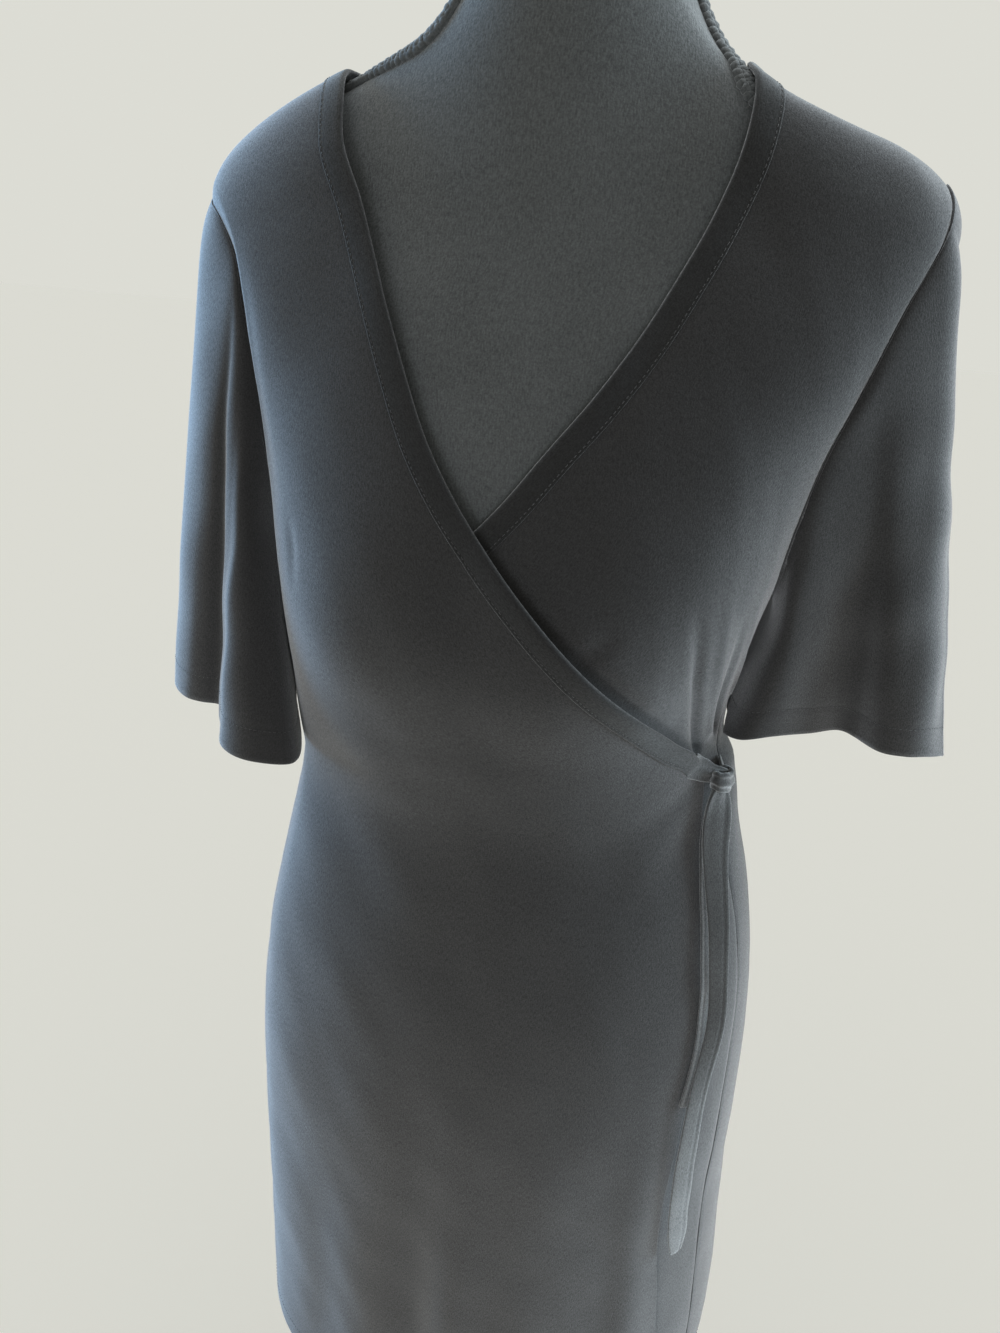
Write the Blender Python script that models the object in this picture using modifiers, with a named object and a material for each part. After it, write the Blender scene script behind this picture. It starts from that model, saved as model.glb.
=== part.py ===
"""Wrap dress on a limbless dress form.

Metres, +Z up. The origin is the middle of the stand's underside, on the floor.
The front faces -Y and +X is the wearer's left.

Every cloth piece lies on one smooth body surface. A place on it is a pair:
the angle round the body in degrees (0 wearer's left, -90 front, 90 back,
180 wearer's right) and the height above the floor. The surface is the level
zero of body_field, and pieces are moved out from it along its normal.
"""

import math

import bpy
import numpy as np

# ---------------------------------------------------------------- driving sizes
CLOTH_WALL = 0.0012
BAND_WALL = 0.0010
SEAM_GAP = 0.0004            # between neighbouring pieces at a seam
REST_GAP = 0.0004            # between a piece and what it lies on
OVERLAP_RISE = 0.0045        # outer face of the upper front above the lower one
BAND_WIDTH = 0.013
BACK_BAND_EASE = 0.0020       # the back band's facets don't follow the back panel's
RIGHT_BAND_DROP = 0.0046     # from the band's free edge to its stitching, on the shoulder seam
LEFT_BAND_DROP = 0.0068

HEM_HEIGHT = 0.497
HEM_TILT = 0.055             # the hem hangs lower on the wearer's right, as a share of x
HEM_TILT_TOP = 0.95
RIGHT_NECK_POINT = 1.466     # height where the neckline crosses the shoulder seam
LEFT_NECK_POINT = 1.475
RIGHT_SHOULDER_TIP = 1.409
LEFT_SHOULDER_TIP = 1.431
UNDERARM_HEIGHT = 1.218
FORM_BOTTOM = 0.800
FORM_TOP = 1.550
FORM_RIM = (
    # inset rise
    (0.001, 0.005),
    (0.007, 0.010),
    (0.020, 0.012),
)

POLE_RADIUS = 0.016
BASE_RADIUS = 0.170
BASE_RIM = 0.010
BASE_CROWN = 0.022
SOCKET_RADIUS = 0.026
SOCKET_TOP = 0.062

# Level sections of the worn cloth, top to bottom. shift moves a section to the
# wearer's left, power is the superellipse exponent, and ease is how far inside
# the cloth the form's skin lies.
SECTIONS = (
    # height half_width shift   front  back   power ease
    (1.56, 0.205, 0.000, 0.049, 0.060, 2.3, 0.0045),
    (1.46, 0.205, -0.002, 0.057, 0.075, 2.3, 0.0060),
    (1.41, 0.206, -0.002, 0.072, 0.092, 2.3, 0.0070),
    (1.36, 0.191, 0.000, 0.092, 0.105, 2.4, 0.0060),
    (1.30, 0.166, 0.002, 0.113, 0.113, 2.4, 0.0050),
    (1.24, 0.151, 0.001, 0.127, 0.111, 2.3, 0.0055),
    (1.19, 0.144, -0.003, 0.129, 0.103, 2.2, 0.0060),
    (1.13, 0.141, -0.008, 0.116, 0.094, 2.1, 0.0080),
    (1.07, 0.149, -0.003, 0.105, 0.090, 2.0, 0.0090),
    (1.01, 0.165, 0.001, 0.110, 0.103, 2.1, 0.0070),
    (0.93, 0.180, 0.000, 0.122, 0.126, 2.2, 0.0060),
    (0.85, 0.189, -0.002, 0.130, 0.137, 2.2, 0.0060),
    (0.74, 0.194, -0.003, 0.134, 0.137, 2.1, 0.0060),
    (0.60, 0.201, 0.000, 0.140, 0.140, 2.0, 0.0060),
    (0.44, 0.203, 0.000, 0.146, 0.146, 2.0, 0.0060),
)

# Roof that cuts the sections off along the shoulders, and the neck above it.
ROOF_HALF_SPAN = 0.108
ROOF_HEIGHT = 1.467
ROOF_SLOPE = 0.36
ROOF_CREST = 0.030
SHOULDER_ROUNDING = 0.050
LEFT_SHOULDER_ROUNDING = 0.034   # of the cloth, which keeps a sharper corner there
NECK_FOOT = 1.40
NECK_LENGTH = 0.15
NECK_RADIUS = 0.0605
NECK_TAPER = 0.021
NECK_LEAN_LEFT = 0.010
NECK_SET_BACK = 0.014
NECK_LEAN_FORWARD = 0.026
NECK_BLEND = 0.070
NECK_EASE = 0.004            # the cloth's neckline stands this far off the form's neck
ROOF_EASE = 0.0047           # the form stays this far below the cloth along the shoulders

BUST_SPREAD = 0.085
BUST_HEIGHT = 1.205
BUST_REACH = 0.045
BUST_RISE = 0.007

# Soft folds of the cloth: a ridge (rise > 0) or valley (rise < 0) that grows
# from nothing at its top height to its full rise at its full height.
FOLDS = (
    # angle  width  top   full  rise
    (-97.0, 7.0, 0.90, 0.50, -0.0080),
    (-84.0, 8.0, 0.92, 0.52, 0.0050),
    (-116.0, 10.0, 0.95, 0.50, 0.0040),
    (-129.0, 7.0, 0.86, 0.50, -0.0050),
    (-62.0, 10.0, 0.90, 0.50, 0.0035),
    (-36.0, 5.0, 1.00, 0.66, 0.0040),
    (12.0, 7.0, 1.04, 0.70, 0.0050),
    (-5.0, 12.0, 1.120, 1.100, 0.0060),
    (-5.0, 12.0, 1.090, 1.010, -0.0060),
    (34.0, 9.0, 0.90, 0.52, -0.0070),
    (60.0, 11.0, 0.92, 0.50, 0.0070),
    (86.0, 9.0, 0.88, 0.50, -0.0080),
    (112.0, 11.0, 0.92, 0.52, 0.0060),
    (140.0, 9.0, 0.90, 0.50, -0.0070),
    (164.0, 10.0, 0.94, 0.50, 0.0050),
)

# Cut edges as places on the body, for the wearer's left half where both
# halves are alike. Each is followed with a smooth curve.
RIGHT_FRONT_ARMHOLE = (
    # angle  height
    (0.0, RIGHT_SHOULDER_TIP),
    (-8.0, 1.403),
    (-14.5, 1.394),
    (-18.5, 1.376),
    (-21.0, 1.345),
    (-21.0, 1.300),
    (-18.5, 1.262),
    (-13.5, 1.233),
    (-6.0, UNDERARM_HEIGHT),
)
LEFT_FRONT_ARMHOLE = (
    # angle  height
    (0.0, LEFT_SHOULDER_TIP),
    (-4.5, 1.423),
    (-8.0, 1.405),
    (-12.0, 1.376),
    (-15.0, 1.340),
    (-16.3, 1.300),
    (-15.5, 1.262),
    (-11.8, 1.232),
    (-6.0, UNDERARM_HEIGHT),
)
RIGHT_BACK_ARMHOLE = (
    # angle  height
    (0.0, RIGHT_SHOULDER_TIP),
    (8.0, 1.398),
    (13.5, 1.378),
    (16.5, 1.343),
    (16.0, 1.290),
    (11.0, 1.245),
    (2.5, 1.222),
    (-6.0, UNDERARM_HEIGHT),
)
LEFT_BACK_ARMHOLE = (
    # angle  height
    (0.0, LEFT_SHOULDER_TIP),
    (6.0, 1.419),
    (12.0, 1.391),
    (16.2, 1.349),
    (16.0, 1.292),
    (11.0, 1.245),
    (2.5, 1.222),
    (-6.0, UNDERARM_HEIGHT),
)
SIDE_SEAM = (
    # angle  height
    (-6.0, UNDERARM_HEIGHT),
    (-9.0, 1.150),
    (-12.0, 1.060),
    (-11.0, 0.960),
    (-14.5, 0.850),
    (-15.0, 0.740),
    (-14.0, 0.600),
    (-13.0, HEM_HEIGHT),
)
BACK_NECKLINE = (
    # angle  height
    (0.0, LEFT_NECK_POINT),
    (22.0, 1.477),
    (45.0, 1.468),
    (68.0, 1.457),
    (90.0, 1.451),
    (112.0, 1.454),
    (135.0, 1.462),
    (158.0, 1.469),
    (180.0, RIGHT_NECK_POINT),
)
# The upper front's free edge: down from the right neck point across the
# bust to the left waist, and then down the skirt to the hem.
CROSSING_EDGE = (
    # angle  height
    (-180.0, RIGHT_NECK_POINT),
    (-164.0, 1.4665),
    (-157.5, 1.461),
    (-154.0, 1.451),
    (-149.5, 1.437),
    (-143.0, 1.419),
    (-121.0, 1.355),
    (-100.0, 1.291),
    (-79.5, 1.241),
    (-55.0, 1.182),
    (-38.0, 1.150),
    (-22.4, 1.119),
)
# The lower front's crossing edge, told as if it were the upper one's. It hangs
# slacker over the chest.
LOWER_CROSSING_EDGE = (
    # angle  height
    (-180.0, LEFT_NECK_POINT),
    (-165.0, 1.476),
    (-156.7, 1.468),
    (-154.0, 1.457),
    (-150.4, 1.441),
    (-145.0, 1.4162),
    (-135.2, 1.3835),
    (-125.0, 1.3535),
    (-118.0, 1.335),
    (-105.0, 1.303),
    (-91.5, 1.267),
    (-75.0, 1.230),
    (-55.0, 1.184),
    (-38.0, 1.150),
    (-22.4, 1.119),
)
SKIRT_EDGE = (
    # angle  height
    (-22.4, 1.119),
    (-21.0, 1.060),
    (-22.5, 0.975),
    (-28.0, 0.880),
    (-30.5, 0.800),
    (-28.0, 0.660),
    (-24.0, HEM_HEIGHT),
)

# Sleeve hems: share is the way round from the outermost point by the front,
# outward is from the middle of the body, forward is -Y, and lift is above the
# sleeve's hem height.
RIGHT_SLEEVE_HEM = (
    # share outward forward lift
    (0.00, 0.257, -0.005, 0.000),
    (0.08, 0.250, 0.032, 0.000),
    (0.15, 0.226, 0.054, 0.001),
    (0.21, 0.200, 0.058, 0.001),
    (0.26, 0.186, 0.075, 0.001),
    (0.31, 0.170, 0.100, 0.000),
    (0.37, 0.146, 0.107, -0.001),
    (0.42, 0.127, 0.092, -0.004),
    (0.47, 0.140, 0.060, -0.003),
    (0.53, 0.161, 0.020, 0.000),
    (0.60, 0.163, -0.020, 0.002),
    (0.67, 0.154, -0.055, 0.000),
    (0.75, 0.166, -0.085, -0.003),
    (0.83, 0.200, -0.088, -0.002),
    (0.92, 0.238, -0.060, 0.001),
    (1.00, 0.257, -0.005, 0.000),
)
LEFT_SLEEVE_HEM = (
    # share outward forward lift
    (0.00, 0.268, -0.022, -0.007),
    (0.07, 0.256, -0.004, -0.001),
    (0.14, 0.241, 0.004, 0.000),
    (0.20, 0.226, 0.003, 0.000),
    (0.25, 0.213, -0.009, 0.001),
    (0.30, 0.202, -0.008, 0.004),
    (0.36, 0.184, 0.006, 0.005),
    (0.42, 0.166, 0.022, 0.006),
    (0.47, 0.152, 0.026, 0.004),
    (0.52, 0.137, 0.011, 0.004),
    (0.58, 0.129, -0.018, 0.005),
    (0.66, 0.124, -0.055, 0.005),
    (0.74, 0.148, -0.090, 0.002),
    (0.83, 0.196, -0.106, -0.004),
    (0.92, 0.243, -0.080, -0.008),
    (1.00, 0.268, -0.022, -0.007),
)
RIGHT_SLEEVE_HEM_HEIGHT = 1.092
LEFT_SLEEVE_HEM_HEIGHT = 1.124
SLEEVE_CLEARANCE = 0.0017    # sideways room for the sleeve's own wall at the armhole
SLEEVE_REACH = 0.010         # how far the sleeve heads straight off the armhole before it falls
SLEEVE_DROOP = 1.65          # turns that heading down where the armhole faces up
SLEEVE_OVER_PANEL = 0.0052   # least height of the sleeve's outer face over a panel
SLEEVE_FREE_HEIGHT = 1.31    # above this only what strays past the armhole lies over a panel
SLEEVE_FREE_DROP = 0.06

# Ties: the middle line down the body, the height of the flat face above the
# body surface, and the width of the folded tie there.
TIE_WALL = 0.0016
FRONT_TIE = (
    # height angle  out    width
    (1.0975, -18.8, 0.0112, 0.014),
    (1.0850, -19.5, 0.0112, 0.0125),
    (1.0500, -20.9, 0.0108, 0.0105),
    (1.0000, -22.9, 0.0108, 0.0085),
    (0.9500, -23.9, 0.0108, 0.0090),
    (0.9000, -27.0, 0.0108, 0.0115),
    (0.8400, -28.4, 0.0105, 0.0150),
    (0.7800, -27.7, 0.0105, 0.0165),
    (0.7450, -26.6, 0.0105, 0.0155),
    (0.7270, -26.2, 0.0105, 0.0090),
)
SIDE_TIE = (
    # height angle  out    width
    (1.0975, -19.8, 0.0082, 0.012),
    (1.0500, -21.9, 0.0080, 0.011),
    (1.0000, -24.0, 0.0080, 0.011),
    (0.9400, -25.4, 0.0080, 0.013),
    (0.8800, -28.8, 0.0080, 0.016),
)
TIE_ROOT_START = -10.9       # angle where the side tie leaves the side seam
TIE_ROOT_END = -13.0         # angle where it goes into the knot
TIE_ROOT_HEIGHT = 1.107
TIE_ROOT_WIDTH = 0.012
TIE_ROOT_RISE = (0.0022, 0.0080)
KNOT_ANGLE = -17.2
KNOT_HEIGHT = 1.1085
KNOT_OUT = 0.0122
KNOT_HALF_WIDTH = 0.0090
KNOT_HALF_DEPTH = 0.0060
KNOT_HALF_HEIGHT = 0.0088
KNOT_GROOVE = 0.0022

# ---------------------------------------------------------------- grid sizes
ARMHOLE_ROWS = 9
WAIST_ROWS = 7
SKIRT_ROWS = 13
WAIST_ROW_HEIGHT = 1.075
FRONT_COLUMNS = 18
BACK_SHOULDER_COLUMNS = 5
BACK_NECK_COLUMNS = 14
NECK_CROWDING = 0.08         # share of the back neckline by which its columns crowd to its ends
SLEEVE_ROWS = 8
FORM_COLUMNS = 44
FORM_ROWS = 30
FORM_SETTLING_ROUNDS = 900

SEARCH_RADIUS = 0.32         # no part of the body is further from its axis
SEARCH_STEPS = 36
SETTLING_ROUNDS = 320
EDGE_CROWDING = 1.25         # above 1 the rows crowd towards the shoulder


# ---------------------------------------------------------------- mathematics
def through(knots, values, at):
    """A smooth curve through rising knots, read at the places at."""
    knots = np.asarray(knots, float)
    values = np.asarray(values, float)
    step = np.diff(knots)
    rise = np.diff(values) / step
    slope = np.empty_like(values)
    slope[0], slope[-1] = rise[0], rise[-1]
    slope[1:-1] = (rise[:-1] * step[1:] + rise[1:] * step[:-1]) / (step[:-1] + step[1:])
    i = np.clip(np.searchsorted(knots, at) - 1, 0, len(step) - 1)
    t = (at - knots[i]) / step[i]
    bend = t * (1 - t) ** 2 * slope[i] - t * t * (1 - t) * slope[i + 1]
    start = (1 + 2 * t) * (1 - t) ** 2 * values[i]
    return start + t * t * (3 - 2 * t) * values[i + 1] + step[i] * bend


def smooth_max(a, b, reach):
    """The larger of two fields, rounded over where they are within reach of each other."""
    near = np.maximum(reach - np.abs(a - b), 0) / reach
    return np.maximum(a, b) + near * near * reach / 4


def smooth_step(t):
    """0 below 0, 1 above 1, and level at both ends."""
    t = np.clip(t, 0, 1)
    return t * t * (3 - 2 * t)


def body_field(x, y, z, form=False):
    """Signed distance, nearly, from the cloth's surface, or from the form's skin."""
    table = np.array(SECTIONS[::-1])
    level = np.clip(z, table[0, 0], table[-1, 0])
    width, shift, front, back, power, ease = (
        through(table[:, 0], table[:, k], level) for k in range(1, 7)
    )
    if form:
        width = width - np.abs(shift) - ease
        front = front - ease
        back = back - ease
        shift = 0.0
    sink = ROOF_EASE if form else 0.0
    depth = np.where(y < 0, front, back)
    u = x - shift
    scale = (np.abs(u / width) ** power + np.abs(y / depth) ** power) ** (1 / power)
    loft = np.hypot(u, y) * (1 - 1 / np.maximum(scale, 1e-6))
    bust = np.exp(-((np.abs(x) - BUST_SPREAD) ** 2 + (z - BUST_HEIGHT) ** 2) / (2 * BUST_REACH**2))
    loft = loft - BUST_RISE * bust * smooth_step(-y / 0.06)
    crest = ROOF_HEIGHT + ROOF_SLOPE * (ROOF_HALF_SPAN - np.sqrt(x * x + ROOF_CREST**2)) - sink
    roof = (z - crest) / math.hypot(1, ROOF_SLOPE)
    left = 0.0 if form else smooth_step((x + 0.06) / 0.12)
    rounding = SHOULDER_ROUNDING + (LEFT_SHOULDER_ROUNDING - SHOULDER_ROUNDING) * left
    torso = smooth_max(loft, roof, rounding)
    up = np.maximum(z - NECK_FOOT, 0) / NECK_LENGTH
    neck_y = NECK_SET_BACK - NECK_LEAN_FORWARD * up
    girth = NECK_RADIUS - NECK_TAPER * up + (0.0 if form else NECK_EASE)
    neck = np.hypot(x - NECK_LEAN_LEFT * up, y - neck_y) - girth
    return -smooth_max(-torso, -neck, NECK_BLEND)


def surface_radius(angle, height, form=False):
    """Distance of the surface from the body's axis, found by halving."""
    angle, height = np.broadcast_arrays(np.radians(angle), np.asarray(height, float))
    inside = np.zeros(angle.shape)
    outside = np.full(angle.shape, SEARCH_RADIUS)
    cosine, sine = np.cos(angle), np.sin(angle)
    for _ in range(SEARCH_STEPS):
        middle = (inside + outside) / 2
        over = body_field(middle * cosine, middle * sine, height, form) > 0
        outside = np.where(over, middle, outside)
        inside = np.where(over, inside, middle)
    return (inside + outside) / 2


def fold_rise(angle, height):
    """How far the soft folds move the cloth out, at each place."""
    total = np.zeros(np.broadcast(angle, height).shape)
    for middle, width, top, full, rise in FOLDS:
        apart = (angle - middle + 180) % 360 - 180
        grown = smooth_step((top - height) / (top - full))
        total = total + rise * grown * np.exp(-((apart / width) ** 2))
    return total


def slope_of_field(points, form=False):
    """The field's value and its gradient at points."""
    x, y, z = points[..., 0], points[..., 1], points[..., 2]
    e = 1e-4
    gradient = np.stack([
        body_field(x + e, y, z, form) - body_field(x - e, y, z, form),
        body_field(x, y + e, z, form) - body_field(x, y - e, z, form),
        body_field(x, y, z + e, form) - body_field(x, y, z - e, form),
    ], axis=-1) / (2 * e)
    return body_field(x, y, z, form), gradient


def onto_surface(points, steps=3, form=False):
    """Points moved along the field's slope onto the cloth's surface, or the form's skin."""
    for _ in range(steps):
        value, gradient = slope_of_field(points, form)
        points = points - gradient * (value / (gradient**2).sum(axis=-1))[..., None]
    return points


def place(places):
    """World points of (angle, height) places on the cloth's surface."""
    angle, height = places[..., 0], places[..., 1]
    radius = surface_radius(angle, height)
    turn = np.radians(angle)
    return np.stack([radius * np.cos(turn), radius * np.sin(turn), height], axis=-1)


def raised(points, out=0.0):
    """Surface points moved out along the normal, by out and by the soft folds, and tilted with the hem."""
    _, gradient = slope_of_field(points)
    normal = gradient / np.linalg.norm(gradient, axis=-1, keepdims=True)
    angle = np.degrees(np.arctan2(points[..., 1], points[..., 0]))
    rise = np.asarray(out) + fold_rise(angle, points[..., 2])
    tilt = HEM_TILT * smooth_step((HEM_TILT_TOP - points[..., 2]) / (HEM_TILT_TOP - HEM_HEIGHT))
    lift = (tilt * points[..., 0])[..., None] * np.array([0, 0, 1.0])
    return points + normal * rise[..., None] + lift


def follow(table, at):
    """Places at shares 0 to 1 of the way along a table of (angle, height)."""
    table = np.array(table)
    run = np.hypot(np.diff(np.radians(table[:, 0])) * 0.15, np.diff(table[:, 1]))
    along = np.concatenate([[0], np.cumsum(run)]) / run.sum()
    return np.stack([through(along, table[:, k], np.asarray(at)) for k in (0, 1)], axis=-1)


def down_to(table, heights):
    """Places at the given heights along a table that only goes down."""
    table = np.array(table)[::-1]
    return np.stack([through(table[:, 1], table[:, 0], heights), heights], axis=-1)


def mirrored(places):
    """The same places on the other half of the body."""
    places = np.array(places)
    places[..., 0] = -180 - places[..., 0]
    return places


def patch(first_row, last_row, first_column, last_column):
    """A grid of places between four edges: the two blends of opposite edges, less the corners' blend."""
    rows, columns = len(first_column), len(first_row)
    t = np.linspace(0, 1, rows)[:, None, None]
    s = np.linspace(0, 1, columns)[None, :, None]
    down = (1 - t) * first_row[None] + t * last_row[None]
    across = (1 - s) * first_column[:, None] + s * last_column[:, None]
    corners = (
        (1 - t) * (1 - s) * first_row[0] + (1 - t) * s * first_row[-1]
        + t * (1 - s) * last_row[0] + t * s * last_row[-1]
    )
    return down + across - corners


def settled(places, hollow=False):
    """Surface points of a patch whose inner points are evened out between its fixed edges.

    Each inner point goes to the mean of its four neighbours. Beside a hollow
    edge the direction with the shorter steps weighs more, and the twist
    between the two is taken off, which keeps the grid from folding over.
    """
    points = place(places)
    for _ in range(SETTLING_ROUNDS):
        across = (points[1:-1, 2:] - points[1:-1, :-2]) / 2
        down = (points[2:, 1:-1] - points[:-2, 1:-1]) / 2
        twist = (points[2:, 2:] - points[2:, :-2] - points[:-2, 2:] + points[:-2, :-2]) / 4
        if hollow:
            a = (down**2).sum(axis=-1, keepdims=True)
            b = (across * down).sum(axis=-1, keepdims=True)
            c = (across**2).sum(axis=-1, keepdims=True)
        else:
            a, b, c = 1.0, 0.0, 1.0
        level = a * (points[1:-1, 2:] + points[1:-1, :-2]) + c * (points[2:, 1:-1] + points[:-2, 1:-1])
        level = (level - 2 * b * twist) / (2 * (a + c))
        points[1:-1, 1:-1] = onto_surface((points[1:-1, 1:-1] + level) / 2, 1)
    points[1:-1, 1:-1] = onto_surface(points[1:-1, 1:-1])
    return points


def inside_edge(edge, width):
    """Surface points a width from an edge, square to it, on the right of its run as seen from outside."""
    _, gradient = slope_of_field(edge)
    normal = gradient / np.linalg.norm(gradient, axis=-1, keepdims=True)
    tangent = np.gradient(edge, axis=0)
    tangent /= np.linalg.norm(tangent, axis=1, keepdims=True)
    return onto_surface(edge - width * np.cross(normal, tangent))


# ---------------------------------------------------------------- Blender helpers
def clear_scene():
    """An empty file to build in."""
    for old in list(bpy.data.objects):
        bpy.data.objects.remove(old, do_unlink=True)


def material(name, colour, roughness):
    """A plain surface finish."""
    made = bpy.data.materials.new(name)
    made.use_nodes = True
    shader = made.node_tree.nodes["Principled BSDF"]
    shader.inputs["Base Color"].default_value = (*colour, 1.0)
    shader.inputs["Roughness"].default_value = roughness
    return made


def add_mesh(name, points, faces, finish, collection):
    """A smooth-shaded object of points and faces."""
    mesh = bpy.data.meshes.new(name)
    mesh.from_pydata([tuple(p) for p in points], [], faces)
    mesh.materials.append(finish)
    mesh.validate()
    mesh.shade_smooth()
    made = bpy.data.objects.new(name, mesh)
    collection.objects.link(made)
    return made


def grid_faces(rows, columns, closed=False):
    """Four-cornered faces of a grid, turned so that rows down and columns left to right face out."""
    faces = []
    for i in range(rows - 1):
        for j in range(columns if closed else columns - 1):
            k = (j + 1) % columns
            below = (i + 1) * columns
            faces.append((i * columns + j, below + j, below + k, i * columns + k))
    return faces


def add_cloth(name, grid, wall, finish, collection, closed=False, flip=False):
    """An open grid of outer points with a wall grown inwards."""
    rows, columns = grid.shape[:2]
    faces = grid_faces(rows, columns, closed)
    if flip:
        faces = [face[::-1] for face in faces]
    made = add_mesh(name, grid.reshape(-1, 3), faces, finish, collection)
    shell = made.modifiers.new("Wall", "SOLIDIFY")
    shell.thickness = wall
    shell.offset = -1
    return made


# ---------------------------------------------------------------- the dress
def crowded(rows):
    """Shares 0 to 1 that start with short steps."""
    return np.linspace(0, 1, rows + 1) ** EDGE_CROWDING


def seam_side(armhole, into):
    """A panel's armhole and side seam as one column of places, moved a hair into the panel."""
    hole = follow(armhole, crowded(ARMHOLE_ROWS))
    upper = np.linspace(UNDERARM_HEIGHT, WAIST_ROW_HEIGHT, WAIST_ROWS + 1)[1:]
    lower = np.linspace(WAIST_ROW_HEIGHT, HEM_HEIGHT, SKIRT_ROWS + 1)[1:]
    seam = down_to(SIDE_SEAM, np.concatenate([upper, lower]))
    column = np.concatenate([hole, seam])
    half_gap = math.degrees(SEAM_GAP / 2 / 0.15)
    column[ARMHOLE_ROWS:, 0] += into * half_gap
    column[0, 0] += into * half_gap
    return column


def straight_row(start, end, columns):
    """Places at even steps between two places."""
    return start + (end - start) * np.linspace(0, 1, columns)[:, None]


def front_points(armhole, crossing_edge, band_drop):
    """A front's surface points as the upper one: columns from its side seam to its free edge."""
    seam = mirrored(seam_side(armhole, -1))
    crossing = follow(crossing_edge, crowded(ARMHOLE_ROWS + WAIST_ROWS))
    skirt = follow(SKIRT_EDGE, np.linspace(0, 1, SKIRT_ROWS + 1))
    edge_places = np.concatenate([crossing, skirt[1:]])
    edge_places[0, 0] = seam[0, 0]
    edge = place(edge_places)
    stitched = inside_edge(edge, BAND_WIDTH)
    stitched_places = np.stack([
        -np.degrees(np.arctan2(-stitched[:, 1], stitched[:, 0])), stitched[:, 2],
    ], axis=-1)
    stitched_places[0] = (seam[0, 0], crossing_edge[0][1] - band_drop)
    stitched_places[-1, 1] = HEM_HEIGHT
    shoulder = straight_row(seam[0], stitched_places[0], FRONT_COLUMNS)
    hem = straight_row(seam[-1], stitched_places[-1], FRONT_COLUMNS)
    inner = settled(patch(shoulder, hem, seam, stitched_places), hollow=True)
    return np.concatenate([inner, edge[:, None]], axis=1)


def overlap_rise(rows, columns):
    """How far the upper front stands over the lower one: nothing at its own seams."""
    down = smooth_step(np.arange(rows) / 4.0)[:, None]
    across = smooth_step(np.arange(columns) / 2.5)[None]
    return OVERLAP_RISE * down * across


def other_half(points):
    """A surface grid's places on the other half of the body, its columns in rising order again."""
    angle = np.degrees(np.arctan2(points[..., 1], points[..., 0]))
    angle = np.where(angle > 90, angle - 360, angle)
    places = np.stack([angle, points[..., 2]], axis=-1)
    return place(mirrored(places)[:, ::-1])


def back_points():
    """The back's surface points: columns from the left side seam to the right one."""
    left = seam_side(LEFT_BACK_ARMHOLE, 1)
    right = mirrored(seam_side(RIGHT_BACK_ARMHOLE, 1))
    right[:, 0] += 360
    neck_point = np.array([left[0, 0], LEFT_NECK_POINT])
    other_neck_point = np.array([right[0, 0], RIGHT_NECK_POINT])
    shoulder = straight_row(left[0], neck_point, BACK_SHOULDER_COLUMNS + 1)
    other = straight_row(other_neck_point, right[0], BACK_SHOULDER_COLUMNS + 1)
    share = np.linspace(0, 1, BACK_NECK_COLUMNS + 1)
    neckline = follow(BACK_NECKLINE, share - NECK_CROWDING * np.sin(2 * math.pi * share))
    top = np.concatenate([shoulder, neckline[1:-1], other])
    hem = straight_row(left[-1], right[-1], len(top))
    return settled(patch(top, hem, left, right))


def halfway(ring):
    """A closed ring's values with their means put in between."""
    return np.stack([ring, (ring + np.roll(ring, -1, axis=0)) / 2], axis=1).reshape(-1, 3)


def sleeve_points(side, front_armhole, back_armhole, hem_table, hem_height):
    """The sleeve's outer rings, armhole to hem, each round from the top by the front.

    Each point runs down a three-point curve: from the armhole, a little way
    straight off the body, and down to the hem. What would come too near a
    panel is moved out along the body's slope.
    """
    hole = np.concatenate([
        follow(front_armhole, crowded(ARMHOLE_ROWS)),
        follow(back_armhole, crowded(ARMHOLE_ROWS))[-2:0:-1],
    ])
    point = place(hole if side > 0 else mirrored(hole))
    _, gradient = slope_of_field(point)
    normal = gradient / np.linalg.norm(gradient, axis=-1, keepdims=True)
    inwards = point.mean(axis=0) - point
    inwards -= normal * (inwards * normal).sum(axis=1, keepdims=True)
    inwards /= np.linalg.norm(inwards, axis=1, keepdims=True)
    ring = halfway(point + normal * SEAM_GAP + inwards * SLEEVE_CLEARANCE)
    inwards = halfway(inwards)
    share = np.arange(len(ring)) / len(ring)
    table = np.array(hem_table)
    outward = through(table[:, 0], table[:, 1], share)
    forward = through(table[:, 0], table[:, 2], share)
    lift = through(table[:, 0], table[:, 3], share)
    hem = np.stack([side * outward, -forward, hem_height + lift], axis=-1)
    heading = halfway(normal - SLEEVE_DROOP * np.maximum(normal[:, 2:], 0) * np.array([0, 0, 1.0]))
    turning = ring + SLEEVE_REACH * heading / np.linalg.norm(heading, axis=1, keepdims=True)
    v = np.linspace(0, 1, SLEEVE_ROWS + 1)[:, None, None]
    rows = (1 - v) ** 2 * ring + 2 * v * (1 - v) * turning + v * v * hem
    over = SLEEVE_OVER_PANEL + (OVERLAP_RISE if side < 0 else 0.0)
    for _ in range(3):
        value, gradient = slope_of_field(rows[1:])
        strayed = -((rows[1:] - ring) * inwards).sum(axis=-1) / over
        sunk = (SLEEVE_FREE_HEIGHT - rows[1:, :, 2]) / SLEEVE_FREE_DROP
        need = SEAM_GAP + (over - SEAM_GAP) * np.maximum(smooth_step(strayed), smooth_step(sunk))
        short = np.maximum(need - value, 0) / (gradient**2).sum(axis=-1)
        rows[1:] += gradient * short[..., None]
    return rows


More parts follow.
